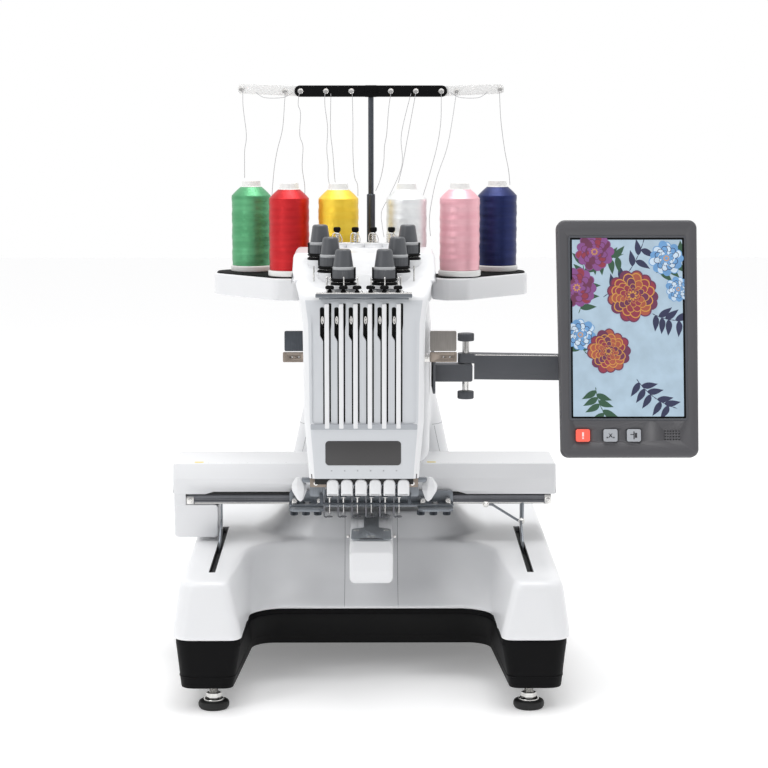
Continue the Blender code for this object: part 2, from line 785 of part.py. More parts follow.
def make_needle_bar(index, case):
    x = needle_x(index)
    axis = pivot(f"needle_bar_axis_{index + 1}", (x, NEEDLE_Y, 0.268), case)
    bar = rod(
        f"needle_bar_{index + 1}", (x, NEEDLE_Y, 0.2440), 0.156, 0.0030, look=STEEL, parent=axis, sides=10
    )
    tab = [
        (x + 0.0118, 0.2560, 0.001),
        (x + 0.0118, 0.2765, 0.0055),
        (x - 0.0022, 0.2765, 0.0055),
        (x - 0.0022, 0.2560, 0.001),
    ]
    foot = [
        (x - 0.0071, 0.2540, 0),
        (x - 0.0071, FOOT_BOTTOM, 0),
        (x + 0.0020, FOOT_BOTTOM, 0),
        (x + 0.0020, FOOT_BOTTOM + 0.0016, 0),
        (x - 0.0055, FOOT_BOTTOM + 0.0016, 0),
        (x - 0.0055, 0.2480, 0),
        (x + 0.0030, 0.2480, 0),
        (x + 0.0030, 0.2540, 0),
    ]
    join(
        bar,
        plate(f"tab_{index}", tab, 0.0400, 0.0480, "XZ", helper=True, steps=3),
        helper_box(f"tab_arm_{index}", (x - 0.0015, 0.0470, 0.2565), (x + 0.0030, 0.0940, 0.2600)),
        plate(f"presser_foot_{index}", foot, 0.0880, 0.0896, "XZ", helper=True),
        helper_rod(f"needle_{index}", (x, NEEDLE_Y, 0.2235), 0.0240, 0.0006, tip=0.0009, sides=8),
        helper_rod(f"clamp_{index}", (x, NEEDLE_Y, 0.2450), 0.0120, 0.0046, sides=12),
    )


def make_take_up_lever(index, case):
    x = needle_x(index) - 0.0065
    axis = pivot(f"take_up_axis_{index + 1}", (x, 0.0800, 0.4350), case)
    outline = [
        (0.0760, 0.4300, 0.0039),
        (0.0850, 0.4300, 0.0039),
        (0.0850, 0.4400, 0.0039),
        (0.0340, 0.4740, 0.0010),
        (0.0290, 0.4700, 0.0010),
        (0.0330, 0.4660, 0.0010),
    ]
    plate(f"take_up_lever_{index + 1}", outline, x - 0.0007, x + 0.0007, "YZ", STEEL, axis, steps=2)


def make_tension_knob(number, x, y, z, case):
    axis = pivot(f"tension_axis_{number}", (x, y, z), case)
    profile = [
        (0.0070, 0.0425),
        (0.0098, 0.0400),
        (0.0124, 0.0205),
        (0.0134, 0.0205),
        (0.0134, 0.0185),
        (0.0145, 0.0180),
        (0.0145, 0.0075),
        (0.0160, 0.0070),
        (0.0160, 0.0003),
    ]
    turned(f"tension_knob_{number}", profile, (x, y, z), GREY, axis, sides=16)


def make_needle_case():
    axis = pivot("needle_case_travel", (CASE_X, NEEDLE_Y, 0.4000))
    make_case_shell(axis)
    make_case_frame(axis)
    make_guide_plate(axis)
    for index in range(NEEDLES):
        make_needle_bar(index, axis)
        make_take_up_lever(index, axis)
    seats = [(side * out, y, z) for side in (-1, 1) for out, y, z in KNOB_SEATS]
    seats.sort()
    for number, (out, y, z) in enumerate(seats, 1):
        make_tension_knob(number, CASE_X + out, y, z, axis)


HEAD_RAIL_Z = 0.4085


def make_head_rail():
    """The bar that the needle case slides along, and the plates at its two ends."""
    rail = box("head_rail", (-0.1050, 0.1145, HEAD_RAIL_Z), (0.1000, 0.1200, HEAD_RAIL_Z + 0.0100), STEEL)
    top = HEAD_RAIL_Z + 0.0384
    plates = [
        helper_box("rail_end_left", (-0.1080, 0.1160, HEAD_RAIL_Z), (-0.0780, 0.1190, top)),
        helper_box("rail_end_right", (0.0720, 0.1160, HEAD_RAIL_Z), (0.1050, 0.1190, top)),
    ]
    join(rail, *plates)


# Thread stand ---------------------------------------------------------------------------------


STAND_FRONT = 0.2500


def make_stand_base():
    low = (-0.0780, STAND_FRONT, TRAY_BOTTOM - 0.0020)
    base = box("spool_stand_base", low, (0.0780, 0.4650, TRAY_TOP), WHITE, rounding=0.006)
    mast = helper_rod("mast_tube", (0, MAST_Y, 0.490), 0.115, 0.0055, sides=14)
    join(base, mast)
    for name in ("yellow", "white"):
        x, y = SPOOLS[name]
        join(base, helper_rod(f"pin_{name}", (x, y, 0.495), 0.030, 0.0030, tip=0.0024))
    cut(base, helper_rod("mast_bore", (0, MAST_Y, 0.500), 0.120, 0.0040, sides=14))


def make_guide_bar():
    axis = pivot("mast_travel", (0, MAST_Y, 0.605))
    half = 0.1000
    outline = [
        (half, BAR_Z - 0.0075, 0.0072),
        (half, BAR_Z + 0.0075, 0.0072),
        (-half, BAR_Z + 0.0075, 0.0072),
        (-half, BAR_Z - 0.0075, 0.0072),
    ]
    bar = plate("thread_guide_bar", outline, MAST_Y - 0.0060, MAST_Y - 0.0035, "XZ", BLACK, axis, steps=5)
    mast = helper_rod("mast_inner", (0, MAST_Y, 0.560), BAR_Z - 0.554, 0.0036, sides=12)
    bracket = helper_box(
        "bar_bracket", (-0.0080, MAST_Y - 0.0040, BAR_Z - 0.0085), (0.0080, MAST_Y + 0.0040, BAR_Z + 0.0085)
    )
    join(bar, mast, bracket)
    for side, name in ((-1, "left"), (1, "right")):
        inner, outer = side * 0.0930, side * 0.1745
        hinge = pivot(f"guide_arm_hinge_{name}", (inner, MAST_Y, BAR_Z), axis)
        corners = [
            (outer, BAR_Z - 0.0030, 0.0040),
            (outer, BAR_Z + 0.0100, 0.0060),
            (inner - side * 0.0060, BAR_Z + 0.0070, 0.0060),
            (inner - side * 0.0060, BAR_Z - 0.0070, 0.0060),
        ]
        if side < 0:
            corners.reverse()
        plate(f"thread_guide_arm_{name}", corners, MAST_Y - 0.0032, MAST_Y - 0.0012, "XZ", CLEAR, hinge)


def make_stand_wings():
    """The two folding trays. It gives the hinge that each outer spool swings with."""
    hinges = {}
    for side, name, spools in ((-1, "left", ("red", "green")), (1, "right", ("pink", "navy"))):
        hinge = pivot(f"stand_wing_hinge_{name}", (side * 0.0812, 0.3200, TRAY_TOP))
        corners = [
            (side * 0.0790, 0.2760, 0.003),
            (side * 0.0950, 0.2560, 0.012),
            (side * 0.1240, 0.2600, 0.020),
            (side * 0.2080, 0.3480, 0.026),
            (side * 0.2080, 0.3960, 0.026),
            (side * 0.1560, 0.4060, 0.026),
            (side * 0.0790, 0.3200, 0.003),
        ]
        if side < 0:
            corners.reverse()
        wing = plate(f"stand_wing_{name}", corners, TRAY_BOTTOM, TRAY_TOP, look=WHITE, parent=hinge)
        for spool in spools:
            x, y = SPOOLS[spool]
            join(wing, helper_rod(f"pin_{spool}", (x, y, 0.495), 0.030, 0.0030, tip=0.0024))
            hinges[spool] = hinge
    return hinges


def make_spool(name, parent):
    x, y = SPOOLS[name]
    profile = [
        (0.0115, SPOOL_HEIGHT),
        (0.0128, SPOOL_HEIGHT - 0.008),
        (0.0140, SPOOL_HEIGHT - 0.0085),
        (SPOOL_RADIUS, SPOOL_HEIGHT - 0.0210),
        (SPOOL_RADIUS, 0.0085),
        (0.0275, 0.0080),
        (0.0275, 0.0003),
        (0.0038, 0.0003),
        (0.0038, 0.0300),
    ]
    turned(f"thread_spool_{name}", profile, (x, y, TRAY_TOP), THREADS[name], parent, sides=20)


def make_spools(wings):
    for name, (x, y) in SPOOLS.items():
        parent = wings.get(name, ROOT)
        make_spool(name, pivot(f"spool_travel_{name}", (x, y, TRAY_TOP), parent))


# Panel ----------------------------------------------------------------------------------------


def leaning(point):
    """Where a point written for an upright panel lies once the panel leans back."""
    middle = Vector(PANEL_CENTRE)
    return Matrix.Rotation(-PANEL_LEAN, 3, "X") @ (Vector(point) - middle) + middle


def lean(obj):
    middle = Matrix.Translation(PANEL_CENTRE)
    turn = middle @ Matrix.Rotation(-PANEL_LEAN, 4, "X") @ middle.inverted()
    obj.data.transform(turn)
    return obj


def make_panel_mounting():
    bracket = box("panel_bracket", (0.0790, 0.1690, 0.3770), (0.1270, 0.1910, 0.3990), DARK_STEEL)
    clamp_rod = helper_rod("clamp_rod", (PIVOT_X, PIVOT_Y, 0.3560), 0.0790, 0.0048, sides=12)
    upper = helper_rod("clamp_knob_upper", (PIVOT_X, PIVOT_Y, 0.4270), 0.0110, 0.0103, sides=16)
    lower = helper_rod("clamp_knob_lower", (PIVOT_X, PIVOT_Y, 0.3540), 0.0100, 0.0103, sides=16)
    root_plate = helper_box("bracket_root", (0.0768, 0.1500, 0.3640), (0.0800, 0.2300, 0.4120))
    join(bracket, clamp_rod, upper, lower, root_plate)
    swing = pivot("panel_swing_hinge", (PIVOT_X, PIVOT_Y, 0.4000))
    outline = [
        (PIVOT_X - 0.0100, PIVOT_Y - 0.0090, 0.006),
        (0.2750, 0.1560, 0.003),
        (0.2750, 0.1680, 0.003),
        (PIVOT_X + 0.0120, PIVOT_Y + 0.0100, 0.006),
        (PIVOT_X - 0.0100, PIVOT_Y + 0.0100, 0.006),
    ]
    arm = plate("panel_arm", outline, 0.4000, 0.4120, look=DARK_STEEL, parent=swing)
    web = [
        (PIVOT_X + 0.0100, PIVOT_Y - 0.0110, 0),
        (0.2750, 0.1560, 0),
        (0.2750, 0.1590, 0),
        (PIVOT_X + 0.0130, PIVOT_Y - 0.0070, 0),
    ]
    join(arm, plate("arm_web", web, 0.3800, 0.4060, helper=True))
    cut(arm, helper_rod("rod_way", (PIVOT_X, PIVOT_Y, 0.390), 0.040, 0.0053, sides=14))
    return swing


def make_panel():
    swing = make_panel_mounting()
    tilt = pivot("panel_tilt_hinge", PANEL_HINGE, swing)
    (x, y, z), (width, depth, height) = PANEL_CENTRE, PANEL_SIZE
    front, rear = y - depth / 2, y + depth / 2
    corners = [
        (x + width / 2 - 0.0010, z - height / 2, 0.010),
        (x + width / 2, z + height / 2, 0.010),
        (x - width / 2, z + height / 2, 0.010),
        (x - width / 2 + 0.0040, z - height / 2, 0.010),
    ]
    housing = lean(plate("panel_housing", corners, front, rear, "XZ", PANEL_GREY, tilt))
    bevel(housing, 0.0030, 2, 60)
    screen_low, screen_high = (x - 0.0700, z - 0.0985), (x + 0.0700, z + 0.1235)
    button_x = [x - 0.0560, x - 0.0225, x + 0.0060]
    button_z = z - 0.1190
    cutters = [
        helper_box(
            "screen_seat", (screen_low[0], front - 0.010, screen_low[1]),
            (screen_high[0], front + 0.0040, screen_high[1]),
        )
    ]
    for index, centre in enumerate(button_x):
        low = (centre - 0.0090, front - 0.010, button_z - 0.0080)
        high = (centre + 0.0090, front + 0.0060, button_z + 0.0080)
        cutters.append(helper_box(f"button_seat_{index}", low, high))
    cutters.append(
        helper_box(
            "panel_inside", (x - 0.0780, front + 0.0080, z - 0.1370),
            (x + 0.0780, rear - 0.0030, z + 0.1370),
        )
    )
    cutters.append(
        helper_box(
            "cable_way", (x - 0.0600, rear - 0.0100, z - 0.0700), (x - 0.0400, rear + 0.0100, z - 0.0600)
        )
    )
    for cutter in cutters:
        lean(cutter)
    cut(housing, *cutters)
    ears = helper_box("hinge_ears", (0.2420, 0.1200, 0.3870), (0.2740, 0.1540, 0.3990))
    join(housing, ears)
    screen = box(
        "touch_screen",
        (screen_low[0] + GAP, front + 0.0005, screen_low[1] + GAP),
        (screen_high[0] - GAP, front + 0.0040 - GAP, screen_high[1] - GAP),
        SCREEN,
        tilt,
    )
    lean(screen)
    looks = (RED_LIT, PALE, PALE)
    names = ("start_stop_button", "thread_cut_button", "threading_button")
    for name, look, centre in zip(names, looks, button_x):
        travel = pivot(f"{name}_travel", leaning((centre, front, button_z)), tilt)
        low = (centre - 0.0086, front - 0.0015, button_z - 0.0076)
        high = (centre + 0.0086, front + 0.0035, button_z + 0.0076)
        lean(box(name, low, high, look, travel))


make_base_pan()
make_base_shell()
make_feet()
make_body_cover()
make_rear_cover()
make_frame_casting()
make_main_motor()
make_main_shaft()
make_free_arm()
make_hook()
make_carriage()
make_needle_case()
make_head_rail()
make_stand_base()
make_guide_bar()
make_spools(make_stand_wings())
make_panel()
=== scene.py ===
"""The looks of a six-needle free-arm embroidery machine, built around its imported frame."""

import math
import random

import bmesh
import bpy
from mathutils import Matrix, Vector
from mathutils.bvhtree import BVHTree


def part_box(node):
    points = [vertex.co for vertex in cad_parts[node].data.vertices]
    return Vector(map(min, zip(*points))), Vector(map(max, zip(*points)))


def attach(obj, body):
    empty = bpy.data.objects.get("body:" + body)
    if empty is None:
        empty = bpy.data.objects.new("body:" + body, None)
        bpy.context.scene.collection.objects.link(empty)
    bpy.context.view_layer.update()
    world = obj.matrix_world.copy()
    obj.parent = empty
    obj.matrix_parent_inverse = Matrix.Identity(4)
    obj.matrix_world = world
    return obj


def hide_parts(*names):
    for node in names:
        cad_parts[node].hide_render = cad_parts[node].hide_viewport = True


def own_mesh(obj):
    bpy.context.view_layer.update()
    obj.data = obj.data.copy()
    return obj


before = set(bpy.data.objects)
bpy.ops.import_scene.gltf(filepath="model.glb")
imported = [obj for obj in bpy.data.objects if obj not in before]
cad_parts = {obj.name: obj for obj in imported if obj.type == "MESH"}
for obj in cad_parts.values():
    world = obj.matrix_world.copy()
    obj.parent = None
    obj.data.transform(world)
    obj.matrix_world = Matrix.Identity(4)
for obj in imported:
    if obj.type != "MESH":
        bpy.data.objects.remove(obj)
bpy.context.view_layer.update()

# Shapes are written in the machine's own frame: X = 0 in the middle of the base, Y = 0 at the
# front of the legs and Z = 0 on the floor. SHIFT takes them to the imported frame.
BASE_HALF = 0.2380
SHIFT = Vector((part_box("base_shell")[0].x + BASE_HALF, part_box("base_shell")[0].y, 0))

# Sizes shared with the CAD model
DEPTH = 0.589
PAN_TOP = 0.087
LEG_TOP = 0.157
LEG_RISE = 0.015
SLOT_X = 0.1935
SLOT_HALF = 0.004
FOOT_X = 0.190
FOOT_PLACES = (("front", 0.025), ("rear", 0.545))
ARM_HALF = 0.0265
ARM_FRONT = 0.0752
ARM_REAR = 0.2460
ARM_BOTTOM = 0.143
ARM_TOP = 0.1937
BLOCK_TOP = 0.1965
HEAD_BOTTOM = 0.2780
HEAD_TOP = 0.4680
HEAD_FRONT = 0.1240
NEEDLES = 6
NEEDLE_PITCH = 0.017
NEEDLE_Y = 0.093
CASE_X = -0.0085
CASE_REAR = 0.1135
LEVER_OFFSET = 0.0065
BAR_SLOT_OFFSET = 0.0024
PRE_TENSION_Y = 0.2310
PRE_TENSION_PITCH = 0.0230
GUIDE_PITCH = 0.0161
MARK_PITCH = 0.0155
WING_LEFT = -0.2555
WING_RIGHT = 0.2385
WING_FRONT = 0.230
WING_REAR = 0.335
WING_TOP = 0.262
COVER_BOTTOM = 0.2262
RAIL_TOP = 0.2225
RAIL_BOTTOM = 0.2095
TRAY_TOP = 0.500
TRAY_BOTTOM = 0.4705
MAST_Y = 0.350
BAR_Z = 0.738
SPOOL_RADIUS = 0.0262
SPOOL_HEIGHT = 0.121
SPOOLS = {
    "green": (-0.1595, 0.372),
    "red": (-0.1060, 0.290),
    "yellow": (-0.0420, 0.279),
    "white": (0.0459, 0.279),
    "pink": (0.1150, 0.290),
    "navy": (0.1685, 0.372),
}
SPOOL_BODIES = {name: f"spool_{name}" for name in SPOOLS}
KNOB_SEATS = ((0.0245, 0.0550, 0.5090), (0.0402, 0.0838, 0.5215), (0.0532, 0.1138, 0.5345))
PIVOT = (0.1188, 0.1800)
PANEL_CENTRE = (0.3135, 0.1200, 0.4365)
PANEL_SIZE = (0.172, 0.022, 0.291)
PANEL_LEAN = math.radians(12)
SCREEN_HALF = 0.0697
SCREEN_BELOW = 0.0982
SCREEN_ABOVE = 0.1232

# Materials ------------------------------------------------------------------------------------


class Look:
    """A Principled material that is built up node by node."""

    def __init__(self, name, colour, roughness, metallic=0.0, **sockets):
        self.made = bpy.data.materials.new(name)
        self.made.use_nodes = True
        self.nodes = self.made.node_tree.nodes
        self.links = self.made.node_tree.links
        self.shader = self.nodes["Principled BSDF"]
        self.set("Base Color", (*colour, 1))
        self.set("Roughness", roughness)
        self.set("Metallic", metallic)
        for socket, value in sockets.items():
            self.set(socket.replace("_", " "), value)
        self.where = None

    def set(self, socket, value):
        self.shader.inputs[socket].default_value = value

    def coordinates(self, stretch=(1, 1, 1)):
        place = self.nodes.new("ShaderNodeTexCoord")
        mapping = self.nodes.new("ShaderNodeMapping")
        mapping.inputs["Scale"].default_value = stretch
        self.links.new(place.outputs["Object"], mapping.inputs["Vector"])
        return mapping.outputs["Vector"]

    def noise(self, scale, stretch=(1, 1, 1), detail=3.0):
        made = self.nodes.new("ShaderNodeTexNoise")
        made.inputs["Scale"].default_value = scale
        made.inputs["Detail"].default_value = detail
        self.links.new(self.coordinates(stretch), made.inputs["Vector"])
        return made.outputs["Fac"]

    def wave(self, scale, direction="Z", distortion=0.0, stretch=(1, 1, 1)):
        made = self.nodes.new("ShaderNodeTexWave")
        made.bands_direction = direction
        made.inputs["Scale"].default_value = scale
        made.inputs["Distortion"].default_value = distortion
        made.inputs["Detail"].default_value = 1.0
        self.links.new(self.coordinates(stretch), made.inputs["Vector"])
        return made.outputs["Fac"]

    def ramp(self, fac, low, high, start=0.3, end=0.7):
        """Colours or grey levels between two ends of a pattern."""
        made = self.nodes.new("ShaderNodeValToRGB")
        first, last = made.color_ramp.elements
        first.position, last.position = start, end
        first.color, last.color = (*low, 1), (*high, 1)
        self.links.new(fac, made.inputs["Fac"])
        return made.outputs["Color"]

    def colour(self, fac, low, high, start=0.3, end=0.7):
        self.links.new(self.ramp(fac, low, high, start, end), self.shader.inputs["Base Color"])
        return self

    def rough(self, fac, low, high):
        self.links.new(self.ramp(fac, (low,) * 3, (high,) * 3), self.shader.inputs["Roughness"])
        return self

    def bump(self, fac, strength, distance):
        made = self.nodes.new("ShaderNodeBump")
        made.inputs["Strength"].default_value = strength
        made.inputs["Distance"].default_value = distance
        self.links.new(fac, made.inputs["Height"])
        before = self.shader.inputs["Normal"].links
        if before:
            self.links.new(before[0].from_socket, made.inputs["Normal"])
        self.links.new(made.outputs["Normal"], self.shader.inputs["Normal"])
        return self


def moulded(name, colour, roughness, grain=900, depth=0.00003, spread=0.04, uneven=0.02, **sockets):
    """Moulded plastic: a fine grain, slightly uneven gloss and a faint drift of colour."""
    look = Look(name, colour, roughness, **sockets)
    darker = tuple(part * (1 - spread) for part in colour)
    look.colour(look.noise(9), darker, colour)
    look.rough(look.noise(14), roughness - uneven, roughness + uneven)
    return look.bump(look.noise(grain), 0.2, depth).made


def machined(name, colour, roughness, stretch=(1, 1, 60), **sockets):
    """Metal with fine lines along one direction and smudged gloss."""
    look = Look(name, colour, roughness, 1.0, **sockets)
    darker = tuple(part * 0.80 for part in colour)
    lines = look.noise(60, stretch, 4)
    look.colour(lines, darker, colour)
    look.rough(look.noise(35), roughness - 0.07, roughness + 0.09)
    return look.bump(lines, 0.25, 0.00003).made


def wound(name, shade, colour, light):
    """Rayon thread wound on a spool: fine turns, slow bands of tension and a satin streak."""
    look = Look(name, colour, 0.28, **{"Metallic": 0.55, "Specular IOR Level": 0.6})
    look.set("Anisotropic", 0.85)
    tangent = look.nodes.new("ShaderNodeTangent")
    tangent.direction_type = "RADIAL"
    tangent.axis = "Z"
    look.links.new(tangent.outputs["Tangent"], look.shader.inputs["Tangent"])
    look.colour(look.noise(26, (0.25, 0.25, 4.5), 5), shade, light, 0.10, 0.95)
    look.bump(look.wave(420, "Z", 1.5), 0.5, 0.00012)
    look.bump(look.noise(150, (0.2, 0.2, 3)), 0.4, 0.0004)
    return look.made


WHITE = moulded(
    "white_gloss", (0.79, 0.797, 0.81), 0.32, depth=0.000003, spread=0.008, uneven=0.004, Coat_Weight=0.10
)
# Painted shade: a greyer white for the flat front faces of the needle case, which face away from the light.
CASE_FRONT_SHADE_GREY = moulded("case_front_painted_shade", (0.61, 0.63, 0.655), 0.40, depth=0.000003, spread=0.01)
# Painted shade: a darker white for the ledge under the case's recess, whose slope faces down.
LEDGE_SHADE_GREY = moulded("ledge_painted_shade", (0.40, 0.42, 0.45), 0.45, depth=0.000003, spread=0.01)
BLACK = moulded(
    "black_grain", (0.0035, 0.0035, 0.004), 0.55, grain=1400, depth=0.00006, spread=0.3,
    Specular_IOR_Level=0.10,
)
MAT_BLACK = moulded(
    "mat_black", (0.004, 0.004, 0.0045), 0.75, grain=2200, depth=0.0001, spread=0.3, Specular_IOR_Level=0.12
)
STEEL = machined("plated_steel", (0.66, 0.66, 0.65), 0.24)
FINE_STEEL = machined("bright_steel", (0.78, 0.77, 0.75), 0.16, (60, 1, 1))
PLATE_STEEL = machined("ground_steel", (0.25, 0.27, 0.295), 0.36, (40, 1, 1))
TOP_STEEL = machined("plate_steel", (0.40, 0.43, 0.46), 0.36, (40, 1, 1))
DARK_STEEL = machined("dark_rail", (0.17, 0.175, 0.19), 0.40, (60, 1, 1))
COATED = moulded("coated_arm", (0.085, 0.090, 0.102), 0.48, grain=1200, depth=0.00005, spread=0.12)
RAIL_END = machined("rail_end_dark", (0.10, 0.11, 0.125), 0.5, (40, 1, 1))
RAIL_LIGHT = machined("rail_end_light", (0.33, 0.31, 0.29), 0.5, (40, 1, 1))
BROWN_STEEL = machined("warm_steel", (0.34, 0.29, 0.25), 0.45, (40, 1, 1))
KNOB_GREY = moulded("knob_grey", (0.088, 0.093, 0.102), 0.34, grain=1600, depth=0.00005, spread=0.12)
KNOB_RING = moulded("knob_ring", (0.36, 0.37, 0.38), 0.32)
PANEL_GREY = moulded("panel_grey", (0.085, 0.084, 0.091), 0.50, grain=1500, depth=0.00006, spread=0.10)
CAST = machined("cast_frame", (0.40, 0.40, 0.41), 0.42)
RUBBER = moulded("foot_rubber", (0.008, 0.008, 0.008), 0.62, grain=900, depth=0.0001, spread=0.3)
SPOOL_WHITE = moulded("spool_white", (0.84, 0.84, 0.82), 0.40)
MILKY = moulded(
    "milky_clear", (0.93, 0.93, 0.92), 0.25, depth=0.000003, spread=0.01, Transmission_Weight=0.15,
)
LABEL = moulded("label_plate", (0.055, 0.053, 0.054), 0.34, grain=2600, depth=0.00002, spread=0.2)
MARK = moulded("mark_grey", (0.42, 0.43, 0.45), 0.5)
SEAM = moulded("seam_shadow", (0.22, 0.225, 0.235), 0.6)
# Near black for the base slots and the panel seam, and also painted shade: dark blocks and sheets set where
# parts lie in shade.
GAP_AND_SHADE_BLACK = moulded("gap_and_painted_shade_dark", (0.006, 0.006, 0.007), 0.65)
STICKER = moulded("yellow_sticker", (0.78, 0.62, 0.12), 0.45)
THREAD_LINE = moulded("thread_line", (0.40, 0.40, 0.41), 0.55, grain=3000)
RED_BUTTON = moulded(
    "red_lit_button", (0.80, 0.10, 0.07), 0.30, Emission_Strength=0.35, Emission_Color=(0.9, 0.16, 0.11, 1)
)
PALE_BUTTON = moulded("pale_button", (0.42, 0.44, 0.47), 0.35)
ICON = moulded("button_icon", (0.03, 0.03, 0.035), 0.5)
ICON_LIGHT = moulded("button_icon_light", (0.95, 0.80, 0.78), 0.5)
THREAD_LOOKS = {
    "green": wound("green_thread", (0.050, 0.26, 0.105), (0.11, 0.42, 0.19), (0.16, 0.52, 0.26)),
    "red": wound("red_thread", (0.42, 0.004, 0.010), (0.58, 0.010, 0.016), (0.70, 0.016, 0.020)),
    "yellow": wound("yellow_thread", (0.93, 0.56, 0.02), (1.0, 0.70, 0.05), (1.0, 0.76, 0.09)),
    "white": wound("white_thread", (0.84, 0.86, 0.87), (0.92, 0.93, 0.93), (0.95, 0.96, 0.95)),
    "pink": wound("pink_thread", (0.88, 0.40, 0.47), (0.95, 0.50, 0.57), (0.98, 0.60, 0.65)),
    "navy": wound("navy_thread", (0.004, 0.009, 0.06), (0.008, 0.018, 0.11), (0.014, 0.028, 0.15)),
}

# Building -------------------------------------------------------------------------------------


def finish_mesh(name, bm, look, body=None, replaced=(), angle=35, closed=True):
    """Turns a bmesh in the machine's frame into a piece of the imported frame."""
    if closed:
        bmesh.ops.recalc_face_normals(bm, faces=bm.faces)
    bmesh.ops.translate(bm, vec=SHIFT, verts=bm.verts)
    mesh = bpy.data.meshes.new(name)
    bm.to_mesh(mesh)
    bm.free()
    obj = bpy.data.objects.new(name, mesh)
    bpy.context.scene.collection.objects.link(obj)
    if look:
        mesh.materials.append(look)
    mesh.shade_smooth()
    mesh.set_sharp_from_angle(angle=math.radians(angle))
    return settle(obj, body, replaced)


def settle(obj, body, replaced=()):
    if body:
        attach(obj, body)
    if replaced:
        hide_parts(*([replaced] if isinstance(replaced, str) else replaced))
    return obj


def rounded(corners, steps=8):
    """The outline through (x, y, radius) corners, each rounded by an arc."""
    outline = []
    for index, (x, y, radius) in enumerate(corners):
        here = Vector((x, y))
        before = (Vector(corners[index - 1][:2]) - here).normalized()
        after = (Vector(corners[(index + 1) % len(corners)][:2]) - here).normalized()
        if radius == 0:
            outline.append(here)
            continue
        half = before.angle(after) / 2
        reach = radius / math.tan(half)
        centre = here + (before + after).normalized() * radius / math.sin(half)
        start = here + before * reach - centre
        end = here + after * reach - centre
        first = math.atan2(start.y, start.x)
        sweep = (math.atan2(end.y, end.x) - first + math.pi) % math.tau - math.pi
        for step in range(steps + 1):
            angle = first + sweep * step / steps
            outline.append(centre + Vector((math.cos(angle), math.sin(angle))) * radius)
    return outline


def spread(rows, count):
    """More rows between the given ones, along a smooth curve through them."""
    made = []
    spans = len(rows) - 1
    for step in range(count + 1):
        place = min(step / count * spans, spans - 1e-9)
        index = int(place)
        part = place - index
        nearby = [rows[max(0, min(spans, index + offset))] for offset in (-1, 0, 1, 2)]
        weights = (
            (-part + 2 * part**2 - part**3) / 2,
            (2 - 5 * part**2 + 3 * part**3) / 2,
            (part + 4 * part**2 - 3 * part**3) / 2,
            (-(part**2) + part**3) / 2,
        )
        made.append(tuple(sum(w * row[i] for w, row in zip(weights, nearby)) for i in range(len(rows[0]))))
    return made


def loft_into(bm, rings, cap_start=True, cap_end=True, material_index=0):
    loops = [[bm.verts.new(point) for point in ring] for ring in rings]
    faces = []
    for low, high in zip(loops, loops[1:]):
        for index in range(len(low)):
            after = (index + 1) % len(low)
            faces.append(bm.faces.new((low[index], low[after], high[after], high[index])))
    if cap_start:
        faces.append(bm.faces.new(loops[0][::-1]))
    if cap_end:
        faces.append(bm.faces.new(loops[-1]))
    for face in faces:
        face.material_index = material_index
    return faces


SPOTS = {
    "XY": lambda a, b, c: (a, b, c),
    "XZ": lambda a, b, c: (a, c, b),
    "YZ": lambda a, b, c: (c, a, b),
}


def slab_into(bm, corners, low, high, plane="XY", edge=0.0, steps=6, material_index=0):
    """A flat rounded outline given thickness, with rims rounded by edge."""
    outline = rounded(corners, steps)
    if edge:
        offsets = rim_rings(outline, SPOTS[plane], low, high, edge)
    else:
        offsets = [[SPOTS[plane](p.x, p.y, end) for p in outline] for end in (low, high)]
    return loft_into(bm, offsets, material_index=material_index)


def rim_rings(outline, spot, low, high, edge, steps=3):
    """The outline's rings with quarter-round rims, moved in along each point's own normal."""
    count = len(outline)
    area = sum(a.x * b.y - b.x * a.y for a, b in zip(outline, outline[1:] + outline[:1]))
    turn = 1 if area > 0 else -1
    inward = []
    for index in range(count):
        before, after = outline[index - 1], outline[(index + 1) % count]
        along = (after - before).normalized()
        inward.append(Vector((-along.y, along.x)) * turn)
    rings = []
    for step in range(steps + 1):
        angle = math.pi / 2 * step / steps
        rings.append((edge * (1 - math.sin(angle)), low + edge * (1 - math.cos(angle))))
    rings += [(inset, low + high - height) for inset, height in reversed(rings)]
    return [
        [spot(p.x + n.x * inset, p.y + n.y * inset, height) for p, n in zip(outline, inward)]
        for inset, height in rings
    ]


def box_corners(low, high, radius=0.0):
    (x0, y0), (x1, y1) = low, high
    return [(x1, y0, radius), (x1, y1, radius), (x0, y1, radius), (x0, y0, radius)]


def block_into(bm, low, high, edge=0.0006, corner=None, material_index=0):
    """A box with rounded rims all round, between two corners."""
    reach = min(abs(b - a) for a, b in zip(low, high)) / 2
    edge = min(edge, reach * 0.9)
    corner = edge if corner is None else corner
    corners = box_corners(low[:2], high[:2], max(corner, edge * 1.01))
    return slab_into(bm, corners, low[2], high[2], "XY", edge, 4, material_index)


def aligned(axis):
    """Turns the Z axis of a turned shape to another one: FACE is -Y and REAR is +Y."""
    turns = {
        "X": Matrix.Rotation(math.pi / 2, 4, "Y"),
        "REAR": Matrix.Rotation(-math.pi / 2, 4, "X"),
        "FACE": Matrix.Rotation(math.pi / 2, 4, "X"),
    }
    return turns.get(axis, Matrix.Identity(4))


